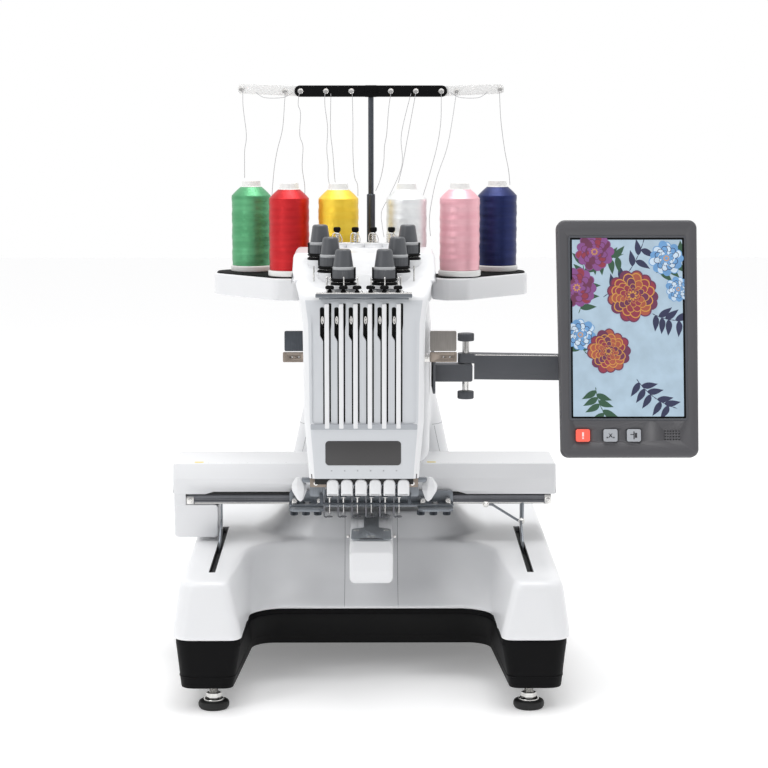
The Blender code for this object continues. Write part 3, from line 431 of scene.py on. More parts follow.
def turn_into(bm, profile, centre=(0, 0, 0), axis="Z", sides=48, place=None, material_index=0):
    """A solid of revolution of (radius, height) points. A radius of 0 closes it to a point."""
    matrix = place or Matrix.Translation(centre) @ aligned(axis)
    loops = []
    for radius, height in profile:
        if radius < 1e-7:
            loops.append([bm.verts.new(matrix @ Vector((0, 0, height)))])
            continue
        loops.append([
            bm.verts.new(matrix @ Vector((
                radius * math.cos(math.tau * side / sides),
                radius * math.sin(math.tau * side / sides),
                height,
            )))
            for side in range(sides)
        ])
    for first, second in zip(loops, loops[1:]):
        for side in range(sides):
            after = (side + 1) % sides
            corners = [first[side % len(first)], first[after % len(first)]]
            corners += [second[after % len(second)], second[side % len(second)]]
            unique = list(dict.fromkeys(corners))
            if len(unique) > 2:
                bm.faces.new(unique).material_index = material_index
    for loop, flip in ((loops[0], True), (loops[-1], False)):
        if len(loop) > 1:
            bm.faces.new(loop[::-1] if flip else loop).material_index = material_index
    return bm


def softened(profile, radius=0.0006, steps=3):
    """A turned profile with its inner corners rounded."""
    made = [profile[0]]
    for before, here, after in zip(profile, profile[1:], profile[2:]):
        corner = Vector(here)
        back, ahead = Vector(before) - corner, Vector(after) - corner
        reach = min(radius, back.length * 0.45, ahead.length * 0.45)
        start, end = corner + back.normalized() * reach, corner + ahead.normalized() * reach
        for step in range(steps + 1):
            part = step / steps
            point = start * (1 - part) ** 2 + corner * 2 * part * (1 - part) + end * part**2
            made.append(tuple(point))
    return made + [profile[-1]]


def tube_into(bm, points, radius, sides=10, material_index=0):
    """A round wire through points, in short straight runs."""
    loops = []
    path = [Vector(point) for point in points]
    side_way = None
    for index, point in enumerate(path):
        along = (path[min(index + 1, len(path) - 1)] - path[max(index - 1, 0)]).normalized()
        if side_way is None:
            side_way = along.orthogonal().normalized()
        side_way = (side_way - along * side_way.dot(along)).normalized()
        up = along.cross(side_way)
        loops.append([
            point + (
                side_way * math.cos(math.tau * s / sides) + up * math.sin(math.tau * s / sides)
            ) * radius
            for s in range(sides)
        ])
    return loft_into(bm, loops, material_index=material_index)


def curve_points(points, count):
    return [Vector(row) for row in spread([tuple(point) for point in points], count)]


def coil_points(foot, radius, taper, rise, per_turn, count):
    """A spring's wire, going up from its foot and drawing in by taper."""
    x, y, z = foot
    points = []
    for step in range(count + 1):
        angle = math.tau * step / per_turn
        reach = radius - taper * step / count
        points.append((x + reach * math.cos(angle), y + reach * math.sin(angle), z + rise * step / count))
    return points


def piece(name, look, body, replaced=(), angle=35):
    """A new bmesh, and what turns it into a piece once its shapes are in it."""
    bm = bmesh.new()

    def done(*more_looks):
        obj = finish_mesh(name, bm, look, body, replaced, angle)
        for extra in more_looks:
            obj.data.materials.append(extra)
        return obj

    return bm, done


def carve(obj, *cutters, operation="DIFFERENCE"):
    """Cuts helper solids, given as bmeshes in the machine's frame, out of a piece."""
    for index, bm in enumerate(cutters):
        helper = finish_mesh(f"{obj.name}_tool_{index}", bm, None)
        modifier = obj.modifiers.new("carve", "BOOLEAN")
        modifier.operation = operation
        modifier.solver = "EXACT"
        modifier.object = helper
        with bpy.context.temp_override(object=obj, active_object=obj, selected_objects=[obj]):
            bpy.ops.object.modifier_apply(modifier=modifier.name)
        bpy.data.objects.remove(helper)
    return obj


def boxes(*pairs, edge=0.0):
    """One bmesh with a box for each (low, high) pair."""
    bm = bmesh.new()
    for low, high in pairs:
        slab_into(bm, box_corners(low[:2], high[:2]), low[2], high[2], "XY", edge)
    return bm


def apply_modifiers(obj):
    with bpy.context.temp_override(object=obj, active_object=obj, selected_objects=[obj]):
        for modifier in list(obj.modifiers):
            bpy.ops.object.modifier_apply(modifier=modifier.name)
    return obj


# Base -----------------------------------------------------------------------------------------

# Share of the height, outer half width, inner half width, depth and half width of the notch,
# front, corner radius and notch radius of each ring of the white cover.
COVER_RINGS = (
    (0.000, 0.2380, 0.1550, 0.163, 0.1500, 0.0000, 0.020, 0.045),
    (0.050, 0.2380, 0.1550, 0.163, 0.1500, 0.0000, 0.020, 0.045),
    (0.170, 0.2376, 0.1565, 0.186, 0.1500, 0.0006, 0.020, 0.050),
    (0.400, 0.2355, 0.1605, 0.213, 0.1500, 0.0022, 0.021, 0.060),
    (0.700, 0.2325, 0.1655, 0.232, 0.1500, 0.0045, 0.022, 0.072),
    (0.900, 0.2300, 0.1690, 0.240, 0.1500, 0.0065, 0.022, 0.080),
    (0.975, 0.2270, 0.1720, 0.243, 0.1530, 0.0095, 0.021, 0.083),
    (1.000, 0.2220, 0.1765, 0.248, 0.1570, 0.0145, 0.018, 0.083),
)
BAND_RINGS = (
    (0.0290, 0.2280, 0.1670, 0.223, 0.1525, 0.0090, 0.016, 0.030),
    (0.0300, 0.2290, 0.1660, 0.222, 0.1520, 0.0080, 0.016, 0.030),
    (0.0550, 0.2315, 0.1615, 0.194, 0.1512, 0.0055, 0.017, 0.037),
    (0.0780, 0.2340, 0.1572, 0.168, 0.1505, 0.0033, 0.018, 0.045),
    (0.0820, 0.2345, 0.1570, 0.166, 0.1505, 0.0030, 0.018, 0.045),
    (0.0868, 0.2345, 0.1570, 0.166, 0.1505, 0.0030, 0.018, 0.045),
)


def leg_outline(outer, inner, notch, notch_x, front, corner, notch_radius, steps=12):
    """The base seen from above: two legs forward and a notch between them."""
    right = [(outer, front, corner), (outer, DEPTH, 0.050)]
    left = [(-x, y, radius) for x, y, radius in reversed(right)]
    inside = [(-inner, front, 0.012), (-notch_x, notch, notch_radius)]
    inside += [(-x, y, radius) for x, y, radius in reversed(inside)]
    return rounded(right + left + inside, steps)


def leg_top(y):
    return LEG_TOP + LEG_RISE * y


def make_slot_liners():
    """The dark channels that the carriage blades run in."""
    bm, done = piece("guide_slot_liners", GAP_AND_SHADE_BLACK, "root")
    for side in (-1, 1):
        for low, high in ((-0.0040, -0.0028), (0.0028, 0.0040)):
            x0, x1 = sorted((side * SLOT_X + low, side * SLOT_X + high))
            profile = [(0.0612, leg_top(0.061) - 0.008, 0), (0.3198, leg_top(0.320) - 0.008, 0)]
            profile += [(0.3198, leg_top(0.320) + 0.0003, 0), (0.0612, leg_top(0.061) + 0.0003, 0)]
            slab_into(bm, profile, x0, x1, "YZ")
        floor = [(0.0612, leg_top(0.061) - 0.0085, 0), (0.3198, leg_top(0.320) - 0.0085, 0)]
        floor += [(0.3198, leg_top(0.320) - 0.0065, 0), (0.0612, leg_top(0.061) - 0.0065, 0)]
        slab_into(bm, floor, side * SLOT_X - SLOT_HALF, side * SLOT_X + SLOT_HALF, "YZ")
    done()


def make_band():
    bm, done = piece("base_band", BLACK, "root", "base_pan", 50)
    rings = []
    for z, *outline in spread(BAND_RINGS, 22):
        rings.append([(p.x, p.y, z) for p in leg_outline(*outline)])
    loft_into(bm, rings)
    done()
    # The lip that stands just proud along the foot of the band.
    bm, done = piece("base_band_lip", BLACK, "root")
    rings = []
    for z, grow in ((0.0430, 0.0), (0.0425, 0.0006), (0.0415, 0.0006), (0.0410, 0.0)):
        share = (z - 0.030) / 0.048
        row = [low + (high - low) * share for low, high in zip(BAND_RINGS[1][1:], BAND_RINGS[3][1:])]
        row[0] += grow
        row[1] -= grow
        row[4] -= grow
        rings.append([(p.x, p.y, z) for p in leg_outline(*row)])
    loft_into(bm, rings)
    done()


def make_feet():
    for side, x in (("left", -FOOT_X), ("right", FOOT_X)):
        for place, y in FOOT_PLACES:
            body = f"foot_{place}_{side}"
            name = f"levelling_{body}"
            bm, done = piece(f"{name}_pad", RUBBER, body, name, 40)
            pad = softened([
                (0.0, 0.0000), (0.0168, 0.0000), (0.0185, 0.0030), (0.0188, 0.0066),
                (0.0176, 0.0094), (0.0128, 0.0104), (0.0, 0.0104),
            ], 0.0012)
            turn_into(bm, pad, (x, y, 0), sides=56)
            done()
            bm, done = piece(f"{name}_stud", FINE_STEEL, body, angle=30)
            flange = softened([
                (0.0, 0.0100), (0.0122, 0.0102), (0.0122, 0.0118), (0.0104, 0.0132),
                (0.0058, 0.0140), (0.0, 0.0140),
            ], 0.0005)
            turn_into(bm, flange, (x, y, 0), sides=48)
            turn_into(
                bm, [(0.0, 0.0139), (0.0094, 0.0139), (0.0094, 0.0190), (0.0, 0.0190)], (x, y, 0), sides=6
            )
            thread = [(0.0, 0.0185)]
            for turn in range(22):
                z = 0.0188 + turn * 0.00125
                thread += [(0.0050, z), (0.0055, z + 0.0006)]
            thread.append((0.0, 0.0470))
            turn_into(bm, thread, (x, y, 0), sides=32)
            done()


# Free arm -------------------------------------------------------------------------------------


def make_free_arm():
    bm, done = piece("free_arm", WHITE, "root", "cylinder_arm_cover")
    corners = box_corners((-ARM_HALF, ARM_BOTTOM), (ARM_HALF, ARM_TOP), 0.0075)
    slab_into(bm, corners, ARM_FRONT, ARM_REAR, "XZ", 0.0012, 8)
    arm = done()
    bore = boxes(((-0.0215, 0.050, 0.1465), (0.0215, 0.160, 0.1870)))
    mouth = bmesh.new()
    slab_into(mouth, box_corners((-0.0150, 0.0780), (0.0150, 0.1000), 0.0090), 0.1800, 0.2000)
    carve(arm, bore, mouth)

    bm, done = piece("needle_plate_skin", TOP_STEEL, "root", "needle_plate")
    plate = [
        (0.0095, ARM_REAR - 0.001, 0.001), (-0.0095, ARM_REAR - 0.001, 0.001), (-0.0095, 0.1500, 0.006),
        (-0.0245, 0.1420, 0.010), (-0.0250, 0.0765, 0.012), (0.0250, 0.0765, 0.012),
        (0.0245, 0.1420, 0.010), (0.0095, 0.1500, 0.006),
    ]
    slab_into(bm, plate, ARM_TOP + 0.0003, ARM_TOP + 0.0018, "XY", 0.0005, 10)
    plate_obj = done()
    opening = bmesh.new()
    slab_into(
        opening, box_corners((-0.0022, NEEDLE_Y - 0.0022), (0.0022, NEEDLE_Y + 0.0022), 0.0021), 0.190,
        0.199,
    )
    carve(plate_obj, opening)
    # Painted shade: a flat dark crescent on the plate's front edge for the shaded opening to the hook
    # below.
    bm, done = piece("needle_plate_painted_shade", GAP_AND_SHADE_BLACK, "root")
    mouth = [
        (0.0150 * math.cos(a), 0.0775 + 0.0048 * math.sin(a)) for a in (math.pi * s / 20 for s in range(21))
    ]
    loft_into(bm, [[(x, y, z) for x, y in mouth] for z in (ARM_TOP + 0.0012, ARM_TOP + 0.0020)])
    done()
    bm, done = piece("needle_plate_screws", FINE_STEEL, "root", angle=30)
    for x, y in ((-0.0185, 0.1320), (0.0185, 0.1320), (0.0, 0.2350)):
        screw_into(bm, (x, y, ARM_TOP + 0.0016), 0.0034, 0.0010)
    done()
    bm, done = piece("needle_plate_ring", FINE_STEEL, "root")
    ring = [(0.0030, 0.0), (0.0046, 0.0), (0.0046, 0.0005), (0.0040, 0.0008), (0.0030, 0.0005)]
    loops = []
    for radius, height in ring + ring[:1]:
        loops.append([
            (radius * math.cos(a), NEEDLE_Y + radius * math.sin(a), ARM_TOP + 0.0017 + height)
            for a in (math.tau * s / 40 for s in range(40))
        ])
    loft_into(bm, loops, False, False)
    done()


def screw_into(bm, at, radius, height, axis="Z", sign=1, sides=28):
    """A low screw head with a round recess in its top, standing on at."""
    cap = [
        (0.0, 0.0), (radius, 0.0), (radius, height * 0.45), (radius * 0.92, height * 0.8),
        (radius * 0.6, height), (radius * 0.25, height), (0.0, height * 0.35),
    ]
    if sign < 0:
        cap = [(r, -h) for r, h in cap]
    turn_into(bm, cap, at, axis, sides)


def make_hook_cover():
    bm, done = piece("hook_cover_skin", WHITE, "hook_cover", "hook_cover", 30)
    # The face runs straight up and then slopes back to a thin upper edge.
    profile = [
        (0.0749, ARM_BOTTOM + 0.0003, 0.0010), (0.0749, ARM_TOP, 0.0010),
        (0.0722, ARM_TOP, 0.0020), (0.0612, 0.1822, 0.0040), (0.0600, 0.1600, 0.0300),
        (0.0618, ARM_BOTTOM + 0.0003, 0.0060),
    ]
    outline = rounded(profile, 8)
    rings = []
    # Across the width, the outline draws in at both sides as a quarter round.
    corner = 0.0070
    angles = [math.pi / 2 * step / 8 for step in range(9)]
    stations = [(-ARM_HALF + corner * (1 - math.cos(a)), corner * (1 - math.sin(a))) for a in angles]
    stations += [(-x, draw) for x, draw in reversed(stations)]
    middle = (ARM_BOTTOM + ARM_TOP) / 2
    half = (ARM_TOP - ARM_BOTTOM) / 2
    for x, draw in stations:
        ring = []
        for point in outline:
            squeeze = 1 - draw / half
            ring.append((x, max(point.x, 0.0600 + draw * 0.35), middle + (point.y - middle) * squeeze))
        rings.append(ring)
    loft_into(bm, rings)
    done()


def make_hook_parts():
    """The rotary hook and its bobbin case, behind the cover."""
    bm, done = piece("bobbin_case_skin", FINE_STEEL, "root", "bobbin_case", 30)
    low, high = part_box("bobbin_case")
    low, high = low - SHIFT, high - SHIFT
    radius = (high.x - low.x) / 2
    middle = ((low.x + high.x) / 2, 0, (low.z + high.z) / 2)
    depth = high.y - low.y
    case = softened([
        (0.0, -high.y), (radius * 0.80, -high.y), (radius * 0.80, -low.y - depth * 0.45),
        (radius, -low.y - depth * 0.40), (radius, -low.y - depth * 0.10),
        (radius * 0.55, -low.y - depth * 0.08), (radius * 0.50, -low.y), (radius * 0.18, -low.y),
        (radius * 0.16, -low.y - depth * 0.3), (0.0, -low.y - depth * 0.3),
    ], 0.0005)
    turn_into(bm, case, middle, "FACE", 56)
    done()


# Body -----------------------------------------------------------------------------------------

# Rise from the leg tops, front, half width and corner radius of each ring of the low block.
BLOCK_ROWS = (
    (-0.0050, 0.2470, 0.172, 0.086),
    (0.0000, 0.2475, 0.158, 0.086),
    (0.0050, 0.2482, 0.145, 0.083),
    (0.0120, 0.2495, 0.130, 0.078),
    (0.0240, 0.2525, 0.116, 0.070),
    (0.0300, 0.2580, 0.106, 0.060),
)
COVE_ROWS = (
    (-0.0350, 0.2160, 0.150, 0.062),
    (-0.0200, 0.2335, 0.148, 0.073),
    (-0.0080, 0.2412, 0.147, 0.081),
    (0.0000, 0.2445, 0.146, 0.084),
    (0.0120, 0.2478, 0.131, 0.080),
    (0.0240, 0.2508, 0.117, 0.072),
    (0.0300, 0.2540, 0.107, 0.062),
)
# Height, front and half width of each ring of the column.
COLUMN_ROWS = (
    (0.1850, 0.4380, 0.126),
    (0.2050, 0.4440, 0.118),
    (0.2400, 0.4460, 0.109),
    (0.2900, 0.4460, 0.098),
    (0.3350, 0.4460, 0.088),
    (0.4000, 0.4460, 0.080),
)
# Depth, bottom, top and the half widths there of each section of the head.
HEAD_ROWS = (
    (HEAD_FRONT, HEAD_BOTTOM + 0.012, HEAD_TOP - 0.004, 0.066, 0.066),
    (HEAD_FRONT + 0.020, HEAD_BOTTOM, HEAD_TOP, 0.072, 0.074),
    (0.300, HEAD_BOTTOM, HEAD_TOP, 0.074, 0.077),
    (0.430, HEAD_BOTTOM - 0.004, HEAD_TOP, 0.082, 0.080),
    (0.500, HEAD_BOTTOM - 0.010, HEAD_TOP - 0.002, 0.086, 0.080),
    (DEPTH - 0.012, HEAD_BOTTOM - 0.010, HEAD_TOP - 0.010, 0.084, 0.076),
)
SHELL_VOXEL = 0.0028


def head_section(y, low, high, half_low, half_high):
    corners = [(half_low, low), (half_high, high), (-half_high, high), (-half_low, low)]
    return [(p.x, y, p.y) for p in rounded([(*corner, 0.018) for corner in corners], 8)]


def standing_outline(half_front, half_rear, front, rear, corner):
    corners = [(half_front, front, corner), (half_rear, rear, 0.020)]
    corners += [(-x, y, radius) for x, y, radius in reversed(corners)]
    return rounded(corners, 12)


def block_ring(rise, front, half, corner):
    ring = []
    for point in standing_outline(half, half, front, DEPTH - 0.015, corner):
        bottom = leg_top(point.y)
        ring.append((point.x, point.y, bottom + (BLOCK_TOP - bottom) * rise / 0.030))
    return ring


def make_shell():
    """The white cover of base, block, column and head, run together with soft fillets."""
    bm, done = piece("white_cover", WHITE, "root", ("base_shell", "body_cover"), 50)
    rings = []
    for share, *outline in spread(COVER_RINGS, 35):
        rings.append([
            (p.x, p.y, PAN_TOP + 0.0003 + share * (leg_top(p.y) - PAN_TOP))
            for p in leg_outline(*outline)
        ])
    loft_into(bm, rings)
    loft_into(bm, [block_ring(*row) for row in spread(BLOCK_ROWS, 15)])
    loft_into(bm, [block_ring(*row) for row in spread(COVE_ROWS, 15)])
    column = []
    for z, front, half in spread(COLUMN_ROWS, 24):
        outline = standing_outline(half, half * 0.97, front, DEPTH - 0.012, 0.030)
        column.append([(p.x, p.y, z) for p in outline])
    loft_into(bm, column)
    loft_into(bm, [head_section(*row) for row in spread(HEAD_ROWS, 30)])
    shell = done()
    remesh = shell.modifiers.new("join", "REMESH")
    remesh.mode = "VOXEL"
    remesh.voxel_size = SHELL_VOXEL
    remesh.use_smooth_shade = True
    soften = shell.modifiers.new("soften", "SMOOTH")
    soften.factor = 0.5
    soften.iterations = 9
    apply_modifiers(shell)
    slots = boxes(*[
        ((side * SLOT_X - SLOT_HALF, 0.061, 0.150), (side * SLOT_X + SLOT_HALF, 0.320, 0.200))
        for side in (-1, 1)
    ])
    carve(shell, slots)
    shell.data.set_sharp_from_angle(angle=math.radians(60))
    return shell


def surface(obj):
    """The surface of a piece, for laying lines and screws on it."""
    bm = bmesh.new()
    bm.from_mesh(obj.data)
    tree = BVHTree.FromBMesh(bm)
    bm.free()

    def cast(start, way):
        hit, normal, _, _ = tree.ray_cast(Vector(start) + SHIFT, Vector(way).normalized())
        return (hit - SHIFT, normal) if hit else (None, None)

    return cast


def seam_into(bm, cast, starts, way, width=0.0005, lift=0.00012):
    """A thin dark line on a surface, found by looking along one direction from each start."""
    found = [cast(start, way) for start in starts]
    found = [(point, normal) for point, normal in found if point]
    rings = []
    for index, (point, normal) in enumerate(found):
        before = found[max(index - 1, 0)][0]
        after = found[min(index + 1, len(found) - 1)][0]
        along = (after - before).normalized()
        side = along.cross(normal).normalized() * width / 2
        top = normal * lift
        rings.append([point - side - top, point - side + top, point + side + top, point + side - top])
    return loft_into(bm, rings)


def make_shell_details(shell):
    cast = surface(shell)
    bm, done = piece("cover_seams", SEAM, "root")
    for x in (-0.0340, 0.0340):
        seam_into(bm, cast, [(x, 0.0, z) for z in steps_between(0.0885, 0.1950, 60)], (0, 1, 0))
    for side in (-1, 1):
        starts = [(side * 0.300, y, 0.280) for y in steps_between(0.450, 0.5750, 40)]
        seam_into(bm, cast, starts, (-side, 0, 0))
        starts = [(side * 0.300, 0.452, z) for z in steps_between(0.215, 0.278, 30)]
        seam_into(bm, cast, starts, (-side, 0, 0))
        starts = [(side * 0.300, y, 0.430) for y in steps_between(0.180, 0.5700, 90)]
        seam_into(bm, cast, starts, (-side, 0, 0))
    done()
    bm, done = piece("cover_screws", FINE_STEEL, "root", angle=30)
    for x in (-0.0300, 0.0300):
        point, _ = cast((x, 0.0, 0.1640), (0, 1, 0))
        if point:
            screw_into(bm, (point.x, point.y + 0.0002, point.z), 0.0022, 0.0009, "FACE")
    done()


def steps_between(start, end, count):
    return [start + (end - start) * step / count for step in range(count + 1)]


def make_rear_cover():
    """The service panel at the rear, with slats over its vents and a screw in each corner."""
    bm, done = piece("rear_panel", WHITE, "root", "rear_cover")
    corners = box_corners((-0.0765, 0.205), (0.0765, 0.452), 0.010)
    slab_into(bm, corners, DEPTH - 0.0115, DEPTH, "XZ", 0.0020, 8)
    panel = done()
    vents = bmesh.new()
    for row in range(6):
        z = 0.240 + 0.012 * row
        slab_into(
            vents, box_corners((-0.045, z), (0.045, z + 0.004), 0.0019), DEPTH - 0.020, DEPTH + 0.010, "XZ"
        )
    carve(panel, vents)
    # Painted shade: a dark sheet just inside the vents for the dark interior seen through them.
    bm, done = piece("rear_panel_painted_shade", MAT_BLACK, "root")
    slab_into(
        bm, box_corners((-0.048, 0.2360), (0.048, 0.3080), 0.002), DEPTH - 0.0114, DEPTH - 0.0085, "XZ",
        0.0005,
    )
    done()
    bm, done = piece("rear_panel_screws", FINE_STEEL, "root", angle=30)
    for x in (-0.066, 0.066):
        for z in (0.217, 0.440):
            screw_into(bm, (x, DEPTH - 0.0006, z), 0.0036, 0.0006, "REAR")
    done()


# Carriage -------------------------------------------------------------------------------------

# Where the cover's front lip steps down to the rail, at its left and right ends.
LIP_STEPS = (-0.2145, -0.2031, 0.1117, 0.1244)
THUMBSCREWS = (-0.098, -0.083, -0.068, 0.063, 0.079, 0.096)


def make_wing():
    bm, done = piece("wing_cover", WHITE, "carriage", "carriage_housing", 40)
    profile = [
        (WING_FRONT, 0.2229, 0.0008), (WING_REAR, 0.2125, 0.0008), (WING_REAR, WING_TOP, 0.0060),
        (WING_FRONT + 0.0065, WING_TOP, 0.0022), (WING_FRONT, 0.2430, 0.0060),
    ]
    slab_into(bm, profile, WING_LEFT, WING_RIGHT, "YZ", 0.0030, 8)
    wing = done()
    inside = boxes((
        (WING_LEFT + 0.0030, WING_FRONT + 0.0090, 0.190),
        (WING_RIGHT - 0.0030, WING_REAR - 0.0030, WING_TOP - 0.0030),
    ))
    lip = bmesh.new()
    left, left_in, right_in, right = LIP_STEPS
    raised = [(left, 0.2228, 0), (left_in, COVER_BOTTOM, 0), (right_in, COVER_BOTTOM, 0)]
    raised += [(right, 0.2228, 0), (right, 0.2000, 0), (left, 0.2000, 0)]
    slab_into(lip, raised, WING_FRONT - 0.005, WING_FRONT + 0.012, "XZ")
    carve(wing, inside, lip)

    bm, done = piece("wing_end_box", WHITE, "carriage", angle=40)
    corners = box_corners((WING_LEFT + 0.0012, 0.1660), (-0.1975, 0.2088), 0.0055)
    slab_into(bm, corners, 0.2306, 0.3000, "XZ", 0.0022, 8)
    wall = box_corners((WING_LEFT + 0.0012, 0.2000), (-0.2390, 0.2400), 0.0010)
    slab_into(bm, wall, 0.2312, 0.3000, "XZ", 0.0008, 4)
    done()
    # Painted shade: a dark block in the gap over the rail and a dark sheet inside the cover, where the
    # cover's lip and hollow lie in shade.
    bm, done = piece("wing_painted_shade", GAP_AND_SHADE_BLACK, "carriage")
    block_into(bm, (left, 0.2330, 0.2224), (right, 0.2380, 0.2268), 0.0003)
    block_into(bm, (WING_LEFT + 0.004, 0.2395, 0.2290), (WING_RIGHT - 0.004, 0.3300, 0.2310), 0.0004)
    done()
    bm, done = piece("wing_scale", MARK, "carriage")
    for index in range(43):
        x = -0.2100 + index * 0.010
        depth = 0.0045 if index % 5 == 0 else 0.0022
        block_into(
            bm, (x - 0.00018, 0.2395, WING_TOP), (x + 0.00018, 0.2395 + depth, WING_TOP + 0.00012), 0.00004,
        )
    done()
    bm, done = piece("wing_stickers", STICKER, "carriage")
    for x in (-0.2225, 0.0780):
        corners = box_corners((x - 0.0060, 0.2420), (x + 0.0060, 0.2500), 0.0030)
        slab_into(bm, corners, WING_TOP, WING_TOP + 0.00015, "XY", 0.00005)
    done()


def make_rail():
    bm, done = piece("rail_extrusion", DARK_STEEL, "carriage", "carriage_rail", 25)
    front, rear, low, high = 0.2332, 0.2600, RAIL_BOTTOM, RAIL_TOP
    profile = [
        (front, low, 0.0008), (rear, low, 0.0008), (rear, high, 0.0008), (front + 0.0030, high, 0.0005),
        (front + 0.0030, high - 0.0014, 0.0002), (front, high - 0.0014, 0.0006),
        (front, 0.2170, 0.0003), (front + 0.0012, 0.2164, 0.0002), (front + 0.0012, 0.2146, 0.0002),
        (front, 0.2140, 0.0003),
    ]
    slab_into(bm, profile, -0.2370, 0.2320, "YZ", 0.0, 4)
    done()
    bm, done = piece("rail_ends", FINE_STEEL, "carriage")
    block_into(bm, (-0.2385, 0.2325, low - 0.0002), (-0.2290, 0.2600, high - 0.0030), 0.0005)
    block_into(bm, (0.2240, 0.2325, low - 0.0002), (0.2325, 0.2600, high - 0.0010), 0.0005)
    for x in (-0.2335, 0.2285):
        screw_into(bm, (x, 0.2326, 0.2145), 0.0030, 0.0010, "FACE")
    done()
    bm, done = piece("rail_light_strip", FINE_STEEL, "carriage")
    block_into(bm, (-0.2280, 0.2329, low + 0.0006), (0.2230, 0.2336, low + 0.0020), 0.0002)
    done()


def make_blades():
    """The legs that carry the rail, running down into the slots of the base."""
    bm, done = piece("rail_legs", PLATE_STEEL, "carriage", angle=30)
    blade = [
        (0.2340, RAIL_BOTTOM + 0.002, 0), (0.2340, 0.1900, 0.002), (0.1900, 0.1680, 0.004),
        (0.1900, 0.1400, 0.001), (0.2000, 0.1400, 0.001), (0.2420, 0.1820, 0.003),
        (0.2420, RAIL_BOTTOM + 0.002, 0),
    ]
    for side in (-1, 1):
        slab_into(bm, blade, side * SLOT_X - 0.0011, side * SLOT_X + 0.0011, "YZ", 0.0003)
    # The stay on the right is a strip bent to meet the leg at a bolt.
    stay = [
        (0.1440, 0.2100, 0), (0.1440, 0.2078, 0.001), (0.1560, 0.2068, 0.003), (0.1890, 0.1862, 0.003),
        (0.1960, 0.1850, 0.002), (0.1960, 0.1885, 0.002), (0.1898, 0.1892, 0.003),
        (0.1570, 0.2095, 0.003), (0.1560, 0.2100, 0),
    ]
    slab_into(bm, stay, 0.2325, 0.2355, "XZ", 0.0004)
    turn_into(
        bm, softened([(0.0, 0.1865), (0.0020, 0.1865), (0.0020, 0.2110), (0.0, 0.2110)]),
        (0.1955, 0.2340, 0), sides=20,
    )
    done()
    bm, done = piece("rail_leg_bolts", FINE_STEEL, "carriage", angle=30)
    for x, z in ((0.1945, 0.1870), (0.1480, 0.2090)):
        turn_into(
            bm, [(0.0, 0.0), (0.0034, 0.0), (0.0034, 0.0026), (0.0028, 0.0032), (0.0, 0.0032)],
            (x, 0.2328, z), "FACE", 6,
        )
        turn_into(
            bm, softened([(0.0, 0.0), (0.0042, 0.0), (0.0042, 0.0007), (0.0, 0.0007)], 0.0002),
            (x, 0.2330, z), "FACE", 32,
        )
    done()


THUMBSCREW_Y = 0.1900


def make_frame_holder():
    bm, done = piece("holder_plate", PLATE_STEEL, "frame_holder", "frame_holder", 30)
    corners = box_corners((-0.1050, 0.1950), (0.1050, 0.2200), 0.003)
    slab_into(bm, corners, 0.2130, 0.2155, "XY", 0.0005)
    slab_into(bm, box_corners((-0.1050, 0.2130), (0.1050, 0.2290), 0.003), 0.2200, 0.2270, "XZ", 0.0006)
    for side in (-1, 1):
        arm = [
            (side * 0.0600, 0.1790, 0.002), (side * 0.0650, 0.1760, 0.003), (side * 0.0990, 0.1760, 0.003),
            (side * 0.1040, 0.1810, 0.003), (side * 0.1040, 0.2010, 0.001), (side * 0.0600, 0.2010, 0.001),
        ]
        slab_into(bm, arm, 0.2100, 0.2138, "XY", 0.0005)
    done()
    bm, done = piece("holder_brackets", FINE_STEEL, "frame_holder", angle=30)
    for side in (-1, 1):
        for x in (0.0660, 0.0980):
            low = (side * x - 0.0030, 0.1960, 0.2150)
            block_into(bm, low, (side * x + 0.0030, 0.2210, 0.2225), 0.0006)
            screw_into(bm, (side * x, 0.1962, 0.2188), 0.0022, 0.0012, "FACE")
        turn_into(
            bm, [(0.0, 0.0), (0.0046, 0.0), (0.0046, 0.0028), (0.0, 0.0028)],
            (side * 0.0820, 0.2060, 0.2150), sides=6,
        )
    for x in (-0.0450, -0.0150, 0.0150, 0.0450):
        screw_into(bm, (x, 0.2201, 0.2235), 0.0026, 0.0012, "FACE")
    done()
    bm, done = piece("thumbscrews", RAIL_END, "frame_holder", angle=25)
    for x in THUMBSCREWS:
        head = [
            (0.0, 0.0), (0.0044, 0.0), (0.0050, 0.0006), (0.0050, 0.0058), (0.0044, 0.0064), (0.0, 0.0064)
        ]
        knurled_into(bm, head, (x, THUMBSCREW_Y, 0.2036), 40, 0.0004)
        turn_into(
            bm, softened([(0.0, 0.0064), (0.0034, 0.0064), (0.0034, 0.0072), (0.0, 0.0072)], 0.0003),
            (x, THUMBSCREW_Y, 0.2036), sides=24,
        )
    done()
    bm, done = piece("thumbscrew_collars", FINE_STEEL, "frame_holder", angle=25)
    for x in THUMBSCREWS:
        collar = softened([(0.0, 0.0), (0.0042, 0.0), (0.0042, 0.0012), (0.0, 0.0012)], 0.0003)
        turn_into(bm, collar, (x, THUMBSCREW_Y, 0.2094), sides=24)
    done()


def knurled_into(bm, profile, centre, ribs, depth, axis="Z", material_index=0):
    """A turned shape whose outline is pinched into fine upright ribs."""
    matrix = Matrix.Translation(centre) @ aligned(axis)
    sides = ribs * 2
    loops = []
    for radius, height in profile:
        ring = []
        for side in range(sides):
            angle = math.tau * side / sides
            reach = max(radius - (depth if side % 2 else 0), 0.0001)
            ring.append(matrix @ Vector((reach * math.cos(angle), reach * math.sin(angle), height)))
        loops.append(ring)
    return loft_into(bm, loops, material_index=material_index)


# Needle case ----------------------------------------------------------------------------------

